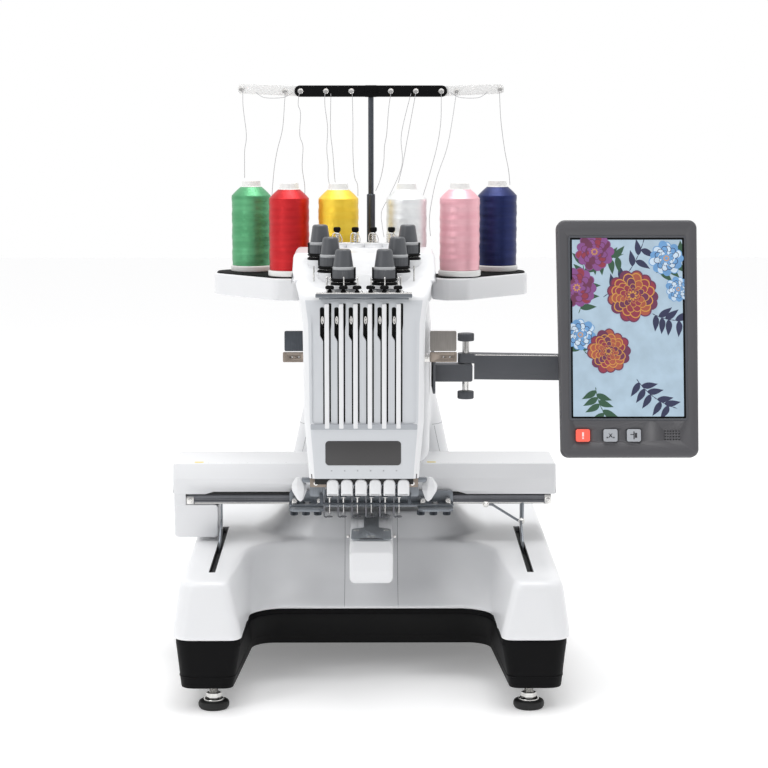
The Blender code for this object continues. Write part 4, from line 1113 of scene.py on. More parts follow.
# Height, half width and front of each ring of the case.
CASE_ROWS = (
    (0.2775, 0.0660, 0.0384),
    (0.3000, 0.0675, 0.0362),
    (0.3330, 0.0702, 0.0352),
    (0.3380, 0.0706, 0.0348),
    (0.3450, 0.0712, 0.0322),
    (0.3490, 0.0714, 0.0320),
    (0.4200, 0.0722, 0.0320),
    (0.4650, 0.0728, 0.0325),
    (0.4920, 0.0765, 0.0366),
    (0.4990, 0.0785, 0.0440),
    (0.5055, 0.0808, 0.0560),
    (0.5120, 0.0832, 0.0700),
    (0.5180, 0.0850, 0.0830),
)
KNOB_PROFILE = (
    (0.0, 0.0425), (0.0076, 0.0424), (0.0093, 0.0406), (0.0118, 0.0232), (0.0120, 0.0216), (0.0, 0.0216),
)


def needle_x(index):
    return (index - 3) * NEEDLE_PITCH


def case_ring(z, half, front, corner=0.010):
    corners = [
        (CASE_X + half, front, corner), (CASE_X + half, CASE_REAR, 0.004),
        (CASE_X - half, CASE_REAR, 0.004), (CASE_X - half, front, corner),
    ]
    return [(p.x, p.y, z) for p in rounded(corners, 10)]


def make_case():
    bm, done = piece("case_cover", WHITE, "needle_case", "needle_case_shell", 40)
    rows = []
    for low, high in zip(CASE_ROWS, CASE_ROWS[1:]):
        steps = max(1, round((high[0] - low[0]) / 0.006))
        rows += [tuple(a + (b - a) * s / steps for a, b in zip(low, high)) for s in range(steps)]
    rows.append(CASE_ROWS[-1])
    loft_into(bm, [case_ring(*row) for row in rows])
    case = done()
    deck = bmesh.new()
    ramp = [
        (0.0790, 0.5090, 0.001), (0.2450, 0.5090, 0.003), (0.2450, 0.5410, 0.006), (0.1345, 0.5410, 0.014),
        (0.0705, 0.5122, 0.001),
    ]
    slab_into(deck, ramp, CASE_X - 0.0868, CASE_X + 0.0868, "YZ", 0.0060, 10)
    carve(case, deck, operation="UNION")
    for row, (out, y, z) in enumerate(KNOB_SEATS):
        for side in (-1, 1):
            seat = bmesh.new()
            turn_into(
                seat, [(0.0, 0.505), (0.0165, 0.505), (0.0165, z - 0.0004), (0.0161, z), (0.0, z)],
                (CASE_X + side * out, y, 0), sides=48,
            )
            carve(case, seat, operation="UNION")
    cuts = boxes(
        ((CASE_X - 0.0590, 0.0420, 0.2700), (CASE_X + 0.0590, 0.1200, 0.3600)),
        ((CASE_X - 0.0625, 0.0370, 0.3500), (CASE_X + 0.0625, 0.1200, 0.4890)),
        ((CASE_X - 0.0780, 0.1335, 0.5000), (CASE_X + 0.0780, 0.2600, 0.5370)),
    )
    carve(case, cuts)
    for out, y, z in KNOB_SEATS:
        pockets = bmesh.new()
        for side in (-1, 1):
            sink = [(0.0, z), (0.0172, z), (0.0172, 0.560), (0.0, 0.560)]
            turn_into(pockets, sink, (CASE_X + side * out, y, 0), sides=48)
        carve(case, pockets)
    recess = bmesh.new()
    corners = box_corners((CASE_X - 0.0620, 0.3440), (CASE_X + 0.0620, 0.4890), 0.006)
    slab_into(recess, corners, 0.0200, 0.0342, "XZ")
    carve(case, recess)
    slots = bmesh.new()
    for index in range(NEEDLES):
        lever = needle_x(index) - LEVER_OFFSET
        lever_slot = [
            (lever - 0.0030, 0.4500, 0.002), (lever - 0.0030, 0.4840, 0.0022),
            (lever + 0.0022, 0.4840, 0.0022),
            (lever + 0.0022, 0.3400, 0), (lever + 0.0006, 0.3400, 0), (lever + 0.0006, 0.4440, 0.004),
        ]
        slab_into(slots, lever_slot, 0.020, 0.045, "XZ", 0.0, 5)
        bar = needle_x(index) + BAR_SLOT_OFFSET
        bar_slot = [
            (bar - 0.0018, 0.4640, 0.002), (bar - 0.0018, 0.4885, 0.0008), (bar + 0.0016, 0.4885, 0.0008),
            (bar + 0.0016, 0.4640, 0.002), (bar + 0.0008, 0.4560, 0.002), (bar + 0.0008, 0.3460, 0.0005),
            (bar - 0.0010, 0.3460, 0.0005), (bar - 0.0010, 0.4560, 0.002),
        ]
        slab_into(slots, bar_slot, 0.020, 0.045, "XZ", 0.0, 5)
    carve(case, slots)
    # Painted shade: the walls of the hollow and the sides of the slots are dark for the shade inside them,
    # and the flat front faces take a greyer white for the shade on them.
    case.data.materials.append(GAP_AND_SHADE_BLACK)
    case.data.materials.append(CASE_FRONT_SHADE_GREY)
    for polygon in case.data.polygons:
        centre = polygon.center - SHIFT
        hollow = abs(centre.x - CASE_X) < 0.0630 and 0.0405 < centre.y < 0.1128 and centre.z < 0.4905
        slot_wall = abs(polygon.normal.x) > 0.9 and abs(centre.x - CASE_X) < 0.060 and centre.y < 0.0460
        floor = polygon.normal.y < -0.965 and centre.z < 0.4920
        if (hollow and 0.2702 < centre.z) or (slot_wall and centre.z > 0.339):
            polygon.material_index = 1
        elif floor:
            polygon.material_index = 2
    soft = case.modifiers.new("rims", "BEVEL")
    soft.width = 0.0007
    soft.segments = 2
    soft.angle_limit = math.radians(50)
    soft.harden_normals = False
    apply_modifiers(case)
    case.data.set_sharp_from_angle(angle=math.radians(40))


def make_case_shade_sheet():
    """A dark sheet behind the needle bars, so that the slots look into shade."""
    bm, done = piece("case_painted_shade_sheet", GAP_AND_SHADE_BLACK, "needle_case")
    slab_into(
        bm, box_corners((CASE_X - 0.0622, 0.2770), (CASE_X + 0.0622, 0.4886), 0.001), 0.1036, 0.1058, "XZ",
        0.0003,
    )
    done()


def make_case_front():
    """The ribs between the slots, the ledge, the blank label, its marks and the corner plates."""
    bm, done = piece("case_ribs", WHITE, "needle_case", angle=40)
    for index in range(NEEDLES):
        low = needle_x(index) - LEVER_OFFSET + 0.0024
        high = needle_x(index) + BAR_SLOT_OFFSET - 0.0012
        slab_into(bm, box_corners((low, 0.3392), (high, 0.4880), 0.0009), 0.0313, 0.0350, "XZ", 0.0006, 4)
    done()
    # Painted shade: the ledge under the recess takes a darker white for its slope that faces down.
    bm, done = piece("case_ledge", LEDGE_SHADE_GREY, "needle_case", angle=40)
    slab_into(
        bm, box_corners((CASE_X - 0.0635, 0.3378), (CASE_X + 0.0635, 0.3446), 0.0012), 0.0318, 0.0354, "XZ",
        0.0006, 4,
    )
    done()
    bm, done = piece("case_label", LABEL, "needle_case")
    slab_into(bm, box_corners((-0.0547, 0.2942), (0.0357, 0.3238), 0.0045), 0.0351, 0.0372, "XZ", 0.0003, 8)
    lean_label(bm)
    done()
    bm, done = piece("case_marks", MARK, "needle_case")
    for index in range(NEEDLES):
        x = CASE_X + (index - 2.5) * MARK_PITCH
        turn_into(
            bm, [(0.0, 0.0), (0.0009, 0.0), (0.0009, 0.0002), (0.0, 0.0002)], (x, 0.0372, 0.2875), "FACE",
            16,
        )
    done()
    bm, done = piece("case_corner_plates", BROWN_STEEL, "needle_case", angle=30)
    for side in (-1, 1):
        inner, outer = sorted((CASE_X + side * 0.0450, CASE_X + side * 0.0650))
        slab_into(bm, box_corners((inner, 0.2655), (outer, 0.2772), 0.0012), 0.0480, 0.0500, "XZ", 0.0003)
    done()
    bm, done = piece("case_corner_screws", FINE_STEEL, "needle_case", angle=30)
    for side in (-1, 1):
        x = CASE_X + side * 0.0580
        screw_into(bm, (x, 0.0481, 0.2705), 0.0030, 0.0016, "FACE")
    done()


def lean_label(bm):
    """Lays the label on the face, which leans back a little toward its foot."""
    for vert in bm.verts:
        vert.co.y += (0.3238 - vert.co.z) * 0.026


def make_case_frame():
    """The steel frame under the case, its bushings, the wiper rod and the two handles."""
    bm, done = piece("case_frame_plate", PLATE_STEEL, "needle_case", "needle_case_frame", 30)
    block_into(bm, (CASE_X - 0.0600, 0.0560, 0.2660), (CASE_X + 0.0600, 0.1100, 0.2765), 0.0008)
    slab_into(
        bm, box_corners((CASE_X - 0.0600, 0.2660), (CASE_X + 0.0600, 0.4700), 0.002), 0.1060, 0.1130, "XZ",
        0.0006,
    )
    for side in (-1, 1):
        near, far = sorted((CASE_X + side * 0.0500, CASE_X + side * 0.0760))
        slab_into(bm, box_corners((near, 0.0760), (far, 0.0840), 0.002), 0.2662, 0.2716, "XY", 0.0006)
        near, far = sorted((CASE_X + side * 0.0480, CASE_X + side * 0.0660))
        slab_into(bm, box_corners((near, 0.2510), (far, 0.2680), 0.003), 0.0640, 0.0660, "XZ", 0.0005)
    done()
    bm, done = piece("case_frame_trim", RAIL_END, "needle_case", angle=30)
    for index in range(NEEDLES):
        bushing = softened([(0.0, 0.0), (0.0052, 0.0), (0.0052, 0.0060), (0.0, 0.0060)], 0.0006)
        turn_into(bm, bushing, (needle_x(index), NEEDLE_Y, 0.2605), sides=32)
    turn_into(
        bm, softened([(0.0, 0.0), (0.0012, 0.0), (0.0012, 0.1140), (0.0, 0.1140)], 0.0003),
        (-0.0640, 0.0560, 0.2440), "X", 20,
    )
    for x in (-0.0600, 0.0460):
        block_into(bm, (x - 0.0020, 0.0545, 0.2425), (x + 0.0020, 0.0580, 0.2560), 0.0005)
    done()
    bm, done = piece("case_handles", WHITE, "needle_case", angle=18)
    for side in (-1, 1):
        handle = [
            (0.0, 0.0300), (0.0028, 0.0298), (0.0085, 0.0232), (0.0098, 0.0198), (0.0094, 0.0140),
            (0.0040, 0.0030), (0.0010, 0.0002), (0.0, 0.0),
        ]
        at = Matrix.Translation((CASE_X + side * 0.0775, 0.0800, 0.2420))
        tilt = Matrix.Rotation(side * 0.10, 4, "Y")
        squash = Matrix.Diagonal((1.0, 0.75, 1.0, 1.0))
        turn_into(bm, handle, sides=7, place=at @ tilt @ squash)
    made = done()
    soft = made.modifiers.new("rims", "BEVEL")
    soft.width = 0.0009
    soft.segments = 3
    soft.angle_limit = math.radians(12)
    apply_modifiers(made)


def make_guide_plate():
    bm, done = piece("guide_rail", PLATE_STEEL, "needle_case", "thread_guide_plate", 30)
    low, high = CASE_X - 0.0570, CASE_X + 0.0570
    slab_into(bm, box_corners((low, 0.4960), (high, 0.5006), 0.0006), 0.0272, 0.0288, "XZ", 0.0003)
    slab_into(
        bm, box_corners((low + 0.004, 0.0300), (high - 0.004, 0.0380), 0.001), 0.4935, 0.4950, "XY", 0.0003
    )
    done()
    bm, done = piece("guide_rail_top", FINE_STEEL, "needle_case", angle=30)
    slab_into(bm, box_corners((low, 0.0270), (high, 0.0400), 0.001), 0.5004, 0.5020, "XY", 0.0004)
    done()
    bm, done = piece("guide_discs", MAT_BLACK, "needle_case", angle=30)
    for x in guide_places():
        disc = softened([
            (0.0, 0.5020), (0.0030, 0.5020), (0.0030, 0.5040), (0.0018, 0.5044), (0.0018, 0.5056),
            (0.0048, 0.5058), (0.0053, 0.5070), (0.0052, 0.5086), (0.0040, 0.5098), (0.0, 0.5100),
        ], 0.0004)
        turn_into(bm, disc, (x, 0.0318, 0), sides=36)
    done()
    bm, done = piece("guide_wires", FINE_STEEL, "needle_case", angle=40)
    for x in guide_places():
        hook = [(x + 0.0006, 0.0318, 0.5095), (x + 0.0006, 0.0318, 0.5170), (x + 0.0006, 0.0325, 0.5190)]
        tube_into(bm, curve_points(hook + [(x + 0.0006, 0.0345, 0.5196)], 12), 0.0008, 10)
        loop = [(x + 0.0030, 0.0300, 0.5022), (x + 0.0055, 0.0290, 0.5040), (x + 0.0068, 0.0300, 0.5022)]
        tube_into(bm, curve_points(loop, 10), 0.0005, 8)
    for out, y, low, high in ((0.0600, 0.0700, 0.4980, 0.5270), (0.0440, 0.0500, 0.4960, 0.5160)):
        for side in (-1, 1):
            pin = [(CASE_X + side * out, y, low), (CASE_X + side * out, y, high)]
            pin.append((CASE_X + side * out, y + 0.0015, high + 0.0012))
            tube_into(bm, curve_points(pin, 14), 0.0009, 10)
    done()


def guide_places():
    return [CASE_X + (index - 2.5) * GUIDE_PITCH for index in range(NEEDLES)]


def make_knobs():
    seats = [(side * out, y, z) for side in (-1, 1) for out, y, z in KNOB_SEATS]
    seats.sort()
    for number, (out, y, z) in enumerate(seats, 1):
        body = f"tension_{number}_body"
        centre = (CASE_X + out, y, z)
        bm, done = piece(
            f"tension_cap_{number}", KNOB_GREY, body, f"tension_knob_{number}", 30
        )
        turn_into(bm, softened(list(KNOB_PROFILE), 0.0022, 5), centre, sides=64)
        knurled_into(
            bm, [(0.0138, 0.0078), (0.0141, 0.0082), (0.0141, 0.0176), (0.0138, 0.0180)], centre, 44, 0.0004
        )
        done()
        bm, done = piece(f"tension_ring_{number}", KNOB_RING, body, angle=30)
        turn_into(
            bm,
            softened(
                [
                    (0.0, 0.0180), (0.0132, 0.0180), (0.0136, 0.0190), (0.0130, 0.0208), (0.0120, 0.0218),
                    (0.0, 0.0218),
                ],
                0.0004,
            ),
            centre, sides=64,
        )
        done()
        bm, done = piece(f"tension_discs_{number}", BLACK, body, angle=30)
        stack = [
            (0.0, 0.0003), (0.0156, 0.0003), (0.0160, 0.0012), (0.0150, 0.0026), (0.0118, 0.0032),
            (0.0118, 0.0042), (0.0152, 0.0050), (0.0154, 0.0064), (0.0142, 0.0074), (0.0138, 0.0080),
            (0.0, 0.0080),
        ]
        turn_into(bm, softened(stack, 0.0004), centre, sides=64)
        for side in (-1, 1):
            low = (centre[0] + side * 0.0139 - 0.0010, y - 0.0050, z + 0.0080)
            high = (centre[0] + side * 0.0139 + 0.0010, y + 0.0050, z + 0.0205)
            block_into(bm, low, high, 0.0005)
        done()
        bm, done = piece(f"tension_washer_{number}", FINE_STEEL, body, angle=30)
        turn_into(
            bm,
            softened(
                [(0.0, 0.0033), (0.0140, 0.0034), (0.0144, 0.0038), (0.0140, 0.0042), (0.0, 0.0042)], 0.0002
            ),
            centre, sides=64,
        )
        done()


def make_pre_tensions():
    """The row of sprung thread guides along the rear of the case's deck."""
    bm, done = piece("pre_tension_ledge", WHITE, "needle_case", angle=40)
    slab_into(
        bm, box_corners((CASE_X - 0.0690, 0.2200), (CASE_X + 0.0690, 0.2430), 0.004), 0.5395, 0.5470, "XY",
        0.0012, 8,
    )
    ledge = done()
    notches = bmesh.new()
    for index in range(5):
        x = CASE_X + (index - 2) * PRE_TENSION_PITCH
        slab_into(notches, box_corners((x - 0.0012, 0.2150), (x + 0.0012, 0.2260), 0.001), 0.5415, 0.5500)
    carve(ledge, notches)
    bm, done = piece("pre_tension_caps", BLACK, "needle_case", angle=30)
    for index in range(NEEDLES):
        x = CASE_X + (index - 2.5) * PRE_TENSION_PITCH
        cap = softened([
            (0.0, 0.5600), (0.0026, 0.5600), (0.0038, 0.5610), (0.0046, 0.5624), (0.0046, 0.5655),
            (0.0036, 0.5668), (0.0, 0.5670),
        ], 0.0004)
        turn_into(bm, cap, (x, PRE_TENSION_Y, 0), sides=36)
    done()
    bm, done = piece("pre_tension_springs", FINE_STEEL, "needle_case", angle=50)
    for index in range(NEEDLES):
        x = CASE_X + (index - 2.5) * PRE_TENSION_PITCH
        stem = softened(
            [
                (0.0, 0.5465), (0.0044, 0.5466), (0.0046, 0.5480), (0.0016, 0.5486), (0.0016, 0.5602),
                (0.0, 0.5602),
            ],
            0.0003,
        )
        turn_into(bm, stem, (x, PRE_TENSION_Y, 0), sides=28)
        tube_into(bm, coil_points((x, PRE_TENSION_Y, 0.5488), 0.0040, 0.0014, 0.0108, 14, 72), 0.00045, 6)
        arm = [
            (x - 0.0052, 0.2290, 0.5470), (x - 0.0058, 0.2275, 0.5540), (x - 0.0046, 0.2262, 0.5588),
            (x - 0.0010, 0.2256, 0.5596), (x + 0.0036, 0.2262, 0.5580), (x + 0.0062, 0.2280, 0.5520),
            (x + 0.0056, 0.2295, 0.5470),
        ]
        tube_into(bm, curve_points(arm, 28), 0.0006, 8)
    done()


# Needles --------------------------------------------------------------------------------------


def make_needle_bars():
    for index in range(NEEDLES):
        body = f"needle_bar_{index + 1}_body"
        x = needle_x(index)
        bm, done = piece(
            f"needle_rod_{index + 1}", FINE_STEEL, body, f"needle_bar_{index + 1}", 30
        )
        rod = softened(
            [(0.0, 0.2440), (0.0026, 0.2440), (0.0030, 0.2446), (0.0030, 0.3994), (0.0, 0.4000)], 0.0004
        )
        turn_into(bm, rod, (x, NEEDLE_Y, 0), sides=28)
        needle = [
            (0.0, 0.2236), (0.0002, 0.2240), (0.00042, 0.2262), (0.00046, 0.2360), (0.0008, 0.2380),
            (0.0008, 0.2450), (0.0, 0.2450),
        ]
        turn_into(bm, needle, (x, NEEDLE_Y, 0), sides=14)
        screw_into(bm, (x, NEEDLE_Y - 0.0060, 0.2505), 0.0018, 0.0014, "FACE")
        done()
        bm, done = piece(f"needle_clamp_{index + 1}", RAIL_END, body, angle=30)
        clamp = softened([
            (0.0, 0.2452), (0.0040, 0.2452), (0.0046, 0.2462), (0.0046, 0.2548), (0.0040, 0.2558),
            (0.0, 0.2558),
        ], 0.0005)
        turn_into(bm, clamp, (x, NEEDLE_Y, 0), sides=32)
        turn_into(
            bm, [(0.0, 0.0), (0.0018, 0.0), (0.0018, 0.0024), (0.0, 0.0024)],
            (x, NEEDLE_Y - 0.0038, 0.2505), "FACE", 20,
        )
        done()
        bm, done = piece(f"threading_tab_{index + 1}", WHITE, body, angle=40)
        tab = [
            (x + 0.0118, 0.2562, 0.0010), (x + 0.0118, 0.2765, 0.0060), (x - 0.0022, 0.2765, 0.0060),
            (x - 0.0022, 0.2562, 0.0010),
        ]
        slab_into(bm, tab, 0.0402, 0.0478, "XZ", 0.0018, 10)
        block_into(bm, (x - 0.0014, 0.0470, 0.2566), (x + 0.0028, 0.0900, 0.2598), 0.0006)
        done()
        bm, done = piece(f"presser_foot_{index + 1}", DARK_STEEL, body, angle=40)
        path = [
            (x + 0.0030, 0.0888, 0.2500), (x - 0.0040, 0.0888, 0.2506), (x - 0.0062, 0.0888, 0.2490),
            (x - 0.0064, 0.0888, 0.2440), (x - 0.0064, 0.0888, 0.2260), (x - 0.0062, 0.0888, 0.2222),
            (x - 0.0044, 0.0886, 0.2211), (x - 0.0036, 0.0888, 0.2210),
        ]
        tube_into(bm, curve_points(path, 56), 0.0010, 8)
        ring = [
            (x + 0.0034 * math.cos(a), NEEDLE_Y + 0.0034 * math.sin(a) - 0.0010, 0.2210)
            for a in (math.pi + math.tau * s / 30 for s in range(31))
        ]
        tube_into(bm, ring, 0.0006, 8)
        tube_into(bm, coil_points((x, NEEDLE_Y, 0.2565), 0.0038, 0.0, 0.0035, 12, 64), 0.0004, 6)
        done()


def make_take_up_levers():
    for index in range(NEEDLES):
        x = needle_x(index) - LEVER_OFFSET
        body = f"take_up_{index + 1}_body"
        bm, done = piece(
            f"take_up_arm_{index + 1}", FINE_STEEL, body, f"take_up_lever_{index + 1}", 30
        )
        outline = [
            (0.0760, 0.4300, 0.0039), (0.0850, 0.4300, 0.0039), (0.0850, 0.4400, 0.0039),
            (0.0340, 0.4740, 0.0016), (0.0290, 0.4700, 0.0016), (0.0330, 0.4660, 0.0016),
        ]
        slab_into(bm, outline, x - 0.0007, x + 0.0007, "YZ", 0.0002, 6)
        loop = []
        for step in range(25):
            angle = math.tau * step / 24
            loop.append(
                (
                    x + 0.0013 * math.cos(angle), 0.0305 - 0.0004 * math.sin(angle),
                    0.4690 + 0.0042 * math.sin(angle),
                )
            )
        tube_into(bm, loop, 0.0005, 8)
        done()


def make_side_plates():
    """The bar that the case slides on, and the plates at its two ends."""
    bm, done = piece("slide_bar", FINE_STEEL, "root", "head_rail", 30)
    block_into(bm, (-0.1050, 0.1172, 0.4085), (0.1000, 0.1200, 0.4185), 0.0006)
    block_into(bm, (-0.0760, 0.1148, 0.4120), (0.0700, 0.1174, 0.4136), 0.0003)
    done()
    for side, look, low, high in (
        ("left", RAIL_END, -0.1060, -0.0780), ("right", RAIL_LIGHT, 0.0720, 0.1045)
    ):
        bm, done = piece(f"side_plate_{side}", look, "root", angle=30)
        slab_into(bm, box_corners((low, 0.4220), (high, 0.4469), 0.0020), 0.1160, 0.1190, "XZ", 0.0005)
        done()
    for side, low, high in (("left", -0.1080, -0.0780), ("right", 0.0720, 0.1050)):
        bm, done = piece(f"side_strip_{side}", BROWN_STEEL, "root", angle=30)
        slab_into(bm, box_corners((low, 0.4086), (high, 0.4210), 0.0014), 0.1146, 0.1172, "XZ", 0.0004)
        strip = done()
        holes = bmesh.new()
        sign = 1 if side == "right" else -1
        for place in (0.0888, 0.0968):
            turn_into(
                holes, [(0.0, 0.110), (0.0013, 0.110), (0.0013, 0.125), (0.0, 0.125)],
                (sign * place, 0, 0.4148), "REAR", 20,
            )
        carve(strip, holes)


# Thread stand ---------------------------------------------------------------------------------

BAR_EYELETS = (-0.0922, -0.0590, -0.0257, 0.0260, 0.0589, 0.0923)
ARM_EYELETS = ((0.1128, 0.0000), (0.1696, 0.0028))
WING_CORNERS = (
    (0.0790, 0.2760, 0.003), (0.0950, 0.2560, 0.012), (0.1240, 0.2600, 0.020), (0.2080, 0.3480, 0.026),
    (0.2080, 0.3960, 0.026), (0.1560, 0.4060, 0.026), (0.0790, 0.3200, 0.003),
)
MAT_CORNERS = (
    (0.0815, 0.2800, 0.003), (0.0965, 0.2600, 0.010), (0.1228, 0.2636, 0.018), (0.2048, 0.3494, 0.024),
    (0.2048, 0.3940, 0.024), (0.1572, 0.4026, 0.024), (0.0815, 0.3190, 0.003),
)


def mirrored(corners, side):
    made = [(side * x, y, radius) for x, y, radius in corners]
    return made[::-1] if side < 0 else made


def make_stand_base():
    bm, done = piece("stand_base", WHITE, "root", "spool_stand_base", 40)
    corners = box_corners((-0.0780, 0.2500), (0.0780, 0.4650), 0.014)
    slab_into(bm, corners, TRAY_BOTTOM - 0.0020, TRAY_TOP - 0.0016, "XY", 0.0045, 10)
    done()
    bm, done = piece("stand_base_mat", MAT_BLACK, "root")
    corners = box_corners((-0.0740, 0.2540), (0.0740, 0.4610), 0.012)
    slab_into(bm, corners, TRAY_TOP - 0.0018, TRAY_TOP, "XY", 0.0005, 10)
    done()
    bm, done = piece("mast_sleeve", RAIL_END, "root", angle=30)
    tube = softened(
        [
            (0.0, 0.4980), (0.0110, 0.4985), (0.0110, 0.5030), (0.0057, 0.5080), (0.0055, 0.5100),
            (0.0055, 0.6030), (0.0, 0.6050),
        ],
        0.0010,
    )
    turn_into(bm, tube, (0, MAST_Y, 0), sides=40)
    done()
    bm, done = piece("spool_pins", FINE_STEEL, "root")
    for name in ("yellow", "white"):
        pin_into(bm, name)
    done()


def pin_into(bm, name):
    x, y = SPOOLS[name]
    pin = softened(
        [(0.0, 0.4950), (0.0030, 0.4950), (0.0030, 0.5220), (0.0022, 0.5250), (0.0, 0.5250)], 0.0006
    )
    turn_into(bm, pin, (x, y, 0), sides=20)


def make_stand_wings():
    for side, name, spools in ((-1, "left", ("red", "green")), (1, "right", ("pink", "navy"))):
        body = f"wing_{name}"
        bm, done = piece(f"tray_{name}", WHITE, body, f"stand_wing_{name}", 40)
        slab_into(bm, mirrored(WING_CORNERS, side), TRAY_BOTTOM, TRAY_TOP - 0.0012, "XY", 0.0022, 12)
        done()
        bm, done = piece(f"tray_mat_{name}", MAT_BLACK, body)
        slab_into(bm, mirrored(MAT_CORNERS, side), TRAY_TOP - 0.0018, TRAY_TOP, "XY", 0.0005, 12)
        done()
        bm, done = piece(f"tray_pins_{name}", FINE_STEEL, body)
        for spool in spools:
            pin_into(bm, spool)
        done()
        bm, done = piece(f"tray_hinge_{name}", MAT_BLACK, body, angle=30)
        knuckle = softened([(0.0, 0.4720), (0.0030, 0.4720), (0.0030, 0.4995), (0.0, 0.4995)], 0.0005)
        turn_into(bm, knuckle, (side * 0.0812, 0.3200, 0), sides=24)
        done()


def make_spools():
    for name, (x, y) in SPOOLS.items():
        body = SPOOL_BODIES[name]
        top = TRAY_TOP + SPOOL_HEIGHT
        bm, done = piece(
            f"winding_{name}", THREAD_LOOKS[name], body, f"thread_spool_{name}", 60
        )
        # The winding swells and dips a little along its height.
        profile = [(0.0120, TRAY_TOP + 0.0070)]
        count = 90
        for step in range(count + 1):
            share = step / count
            z = TRAY_TOP + 0.0084 + (top - 0.0205 - TRAY_TOP - 0.0084) * share
            swell = 0.00022 * math.sin(share * 23 + x * 90) + 0.00016 * math.sin(share * 57 + y * 60)
            profile.append((SPOOL_RADIUS - 0.0004 + swell, z))
        for step in range(1, 14):
            share = step / 13
            bulge = 0.0006 * math.sin(share * math.pi)
            profile.append((SPOOL_RADIUS - 0.0004 - 0.0122 * share + bulge, top - 0.0205 + 0.0118 * share))
        profile.append((0.0100, top - 0.0084))
        turn_into(bm, profile, (x, y, 0), sides=96)
        done()
        bm, done = piece(f"spool_core_{name}", SPOOL_WHITE, body, angle=35)
        cap = [
            (0.0080, top - 0.0030), (0.0104, top - 0.0004), (0.0115, top - 0.0004), (0.0120, top - 0.0014),
            (0.0130, top - 0.0080), (0.0140, top - 0.0086), (0.0138, top - 0.0096), (0.0090, top - 0.0096),
            (0.0080, top - 0.0030),
        ]
        ring_into(bm, softened(cap, 0.0005)[:-1], (x, y))
        base = [
            (0.0060, TRAY_TOP + 0.0003), (0.0268, TRAY_TOP + 0.0003), (0.0275, TRAY_TOP + 0.0012),
            (0.0275, TRAY_TOP + 0.0070), (0.0266, TRAY_TOP + 0.0080), (0.0060, TRAY_TOP + 0.0080),
            (0.0060, TRAY_TOP + 0.0003),
        ]
        ring_into(bm, softened(base, 0.0006)[:-1], (x, y))
        done()


def ring_into(bm, profile, centre, sides=64, material_index=0):
    """A closed outline of (radius, height) points turned into a ring."""
    loops = []
    for radius, height in profile:
        loops.append([
            (centre[0] + radius * math.cos(a), centre[1] + radius * math.sin(a), height)
            for a in (math.tau * s / sides for s in range(sides))
        ])
    made = [[bm.verts.new(point) for point in loop] for loop in loops]
    for index, low in enumerate(made):
        high = made[(index + 1) % len(made)]
        for side in range(sides):
            after = (side + 1) % sides
            bm.faces.new((low[side], low[after], high[after], high[side])).material_index = material_index


def eyelets_into(bm, places, front, rear):
    for x, z in places:
        turn_into(bm, softened([
            (0.0, -front), (0.0017, -front), (0.0032, -front + 0.0003), (0.0036, -front - 0.0006 + 0.0012),
            (0.0032, -rear), (0.0, -rear),
        ][::-1], 0.0002), (x, 0, z), "FACE", 28)


def make_guide_bar():
    front, rear = MAST_Y - 0.0060, MAST_Y - 0.0035
    bm, done = piece("guide_strip", BLACK, "guide_bar", "thread_guide_bar", 40)
    slab_into(
        bm, box_corners((-0.1000, BAR_Z - 0.0075), (0.1000, BAR_Z + 0.0075), 0.0072), front, rear, "XZ",
        0.0006, 10,
    )
    done()
    bm, done = piece("mast_rod", RAIL_END, "guide_bar", angle=30)
    rod = softened(
        [(0.0, 0.5600), (0.0036, 0.5600), (0.0036, BAR_Z + 0.0060), (0.0, BAR_Z + 0.0060)], 0.0005
    )
    turn_into(bm, rod, (0, MAST_Y, 0), sides=32)
    block_into(bm, (-0.0012, MAST_Y - 0.0039, 0.6060), (0.0012, MAST_Y - 0.0030, BAR_Z - 0.0090), 0.0002)
    done()
    bm, done = piece("mast_clamp", BLACK, "guide_bar", angle=30)
    block_into(
        bm, (-0.0080, MAST_Y - 0.0072, BAR_Z - 0.0078), (0.0080, MAST_Y + 0.0040, BAR_Z + 0.0078), 0.0012
    )
    for x in (-0.0045, 0.0045):
        screw_into(bm, (x, MAST_Y - 0.0071, BAR_Z), 0.0024, 0.0010, "FACE")
    done()
    bm, done = piece("bar_eyelets", FINE_STEEL, "guide_bar", angle=30)
    eyelets_into(bm, [(x, BAR_Z) for x in BAR_EYELETS], front - 0.0006, front + 0.0004)
    done()
    for side, name in ((-1, "left"), (1, "right")):
        body = f"guide_arm_{name}"
        inner, outer = side * 0.0930, side * 0.1745
        bm, done = piece(f"outer_guide_{name}", MILKY, body, f"thread_guide_arm_{name}", 40)
        corners = [
            (outer, BAR_Z - 0.0030, 0.0040), (outer, BAR_Z + 0.0100, 0.0060),
            (inner - side * 0.0060, BAR_Z + 0.0070, 0.0060),
            (inner - side * 0.0060, BAR_Z - 0.0070, 0.0060),
        ]
        slab_into(
            bm, corners[::-1] if side < 0 else corners, MAST_Y - 0.0032, MAST_Y - 0.0012, "XZ", 0.0006, 8
        )
        done()
        bm, done = piece(f"outer_eyelets_{name}", FINE_STEEL, body, angle=30)
        places = [(side * x, BAR_Z + rise) for x, rise in ARM_EYELETS]
        eyelets_into(bm, places, MAST_Y - 0.0038, MAST_Y - 0.0030)
        done()


# Threads --------------------------------------------------------------------------------------

THREAD_RADIUS = 0.00036
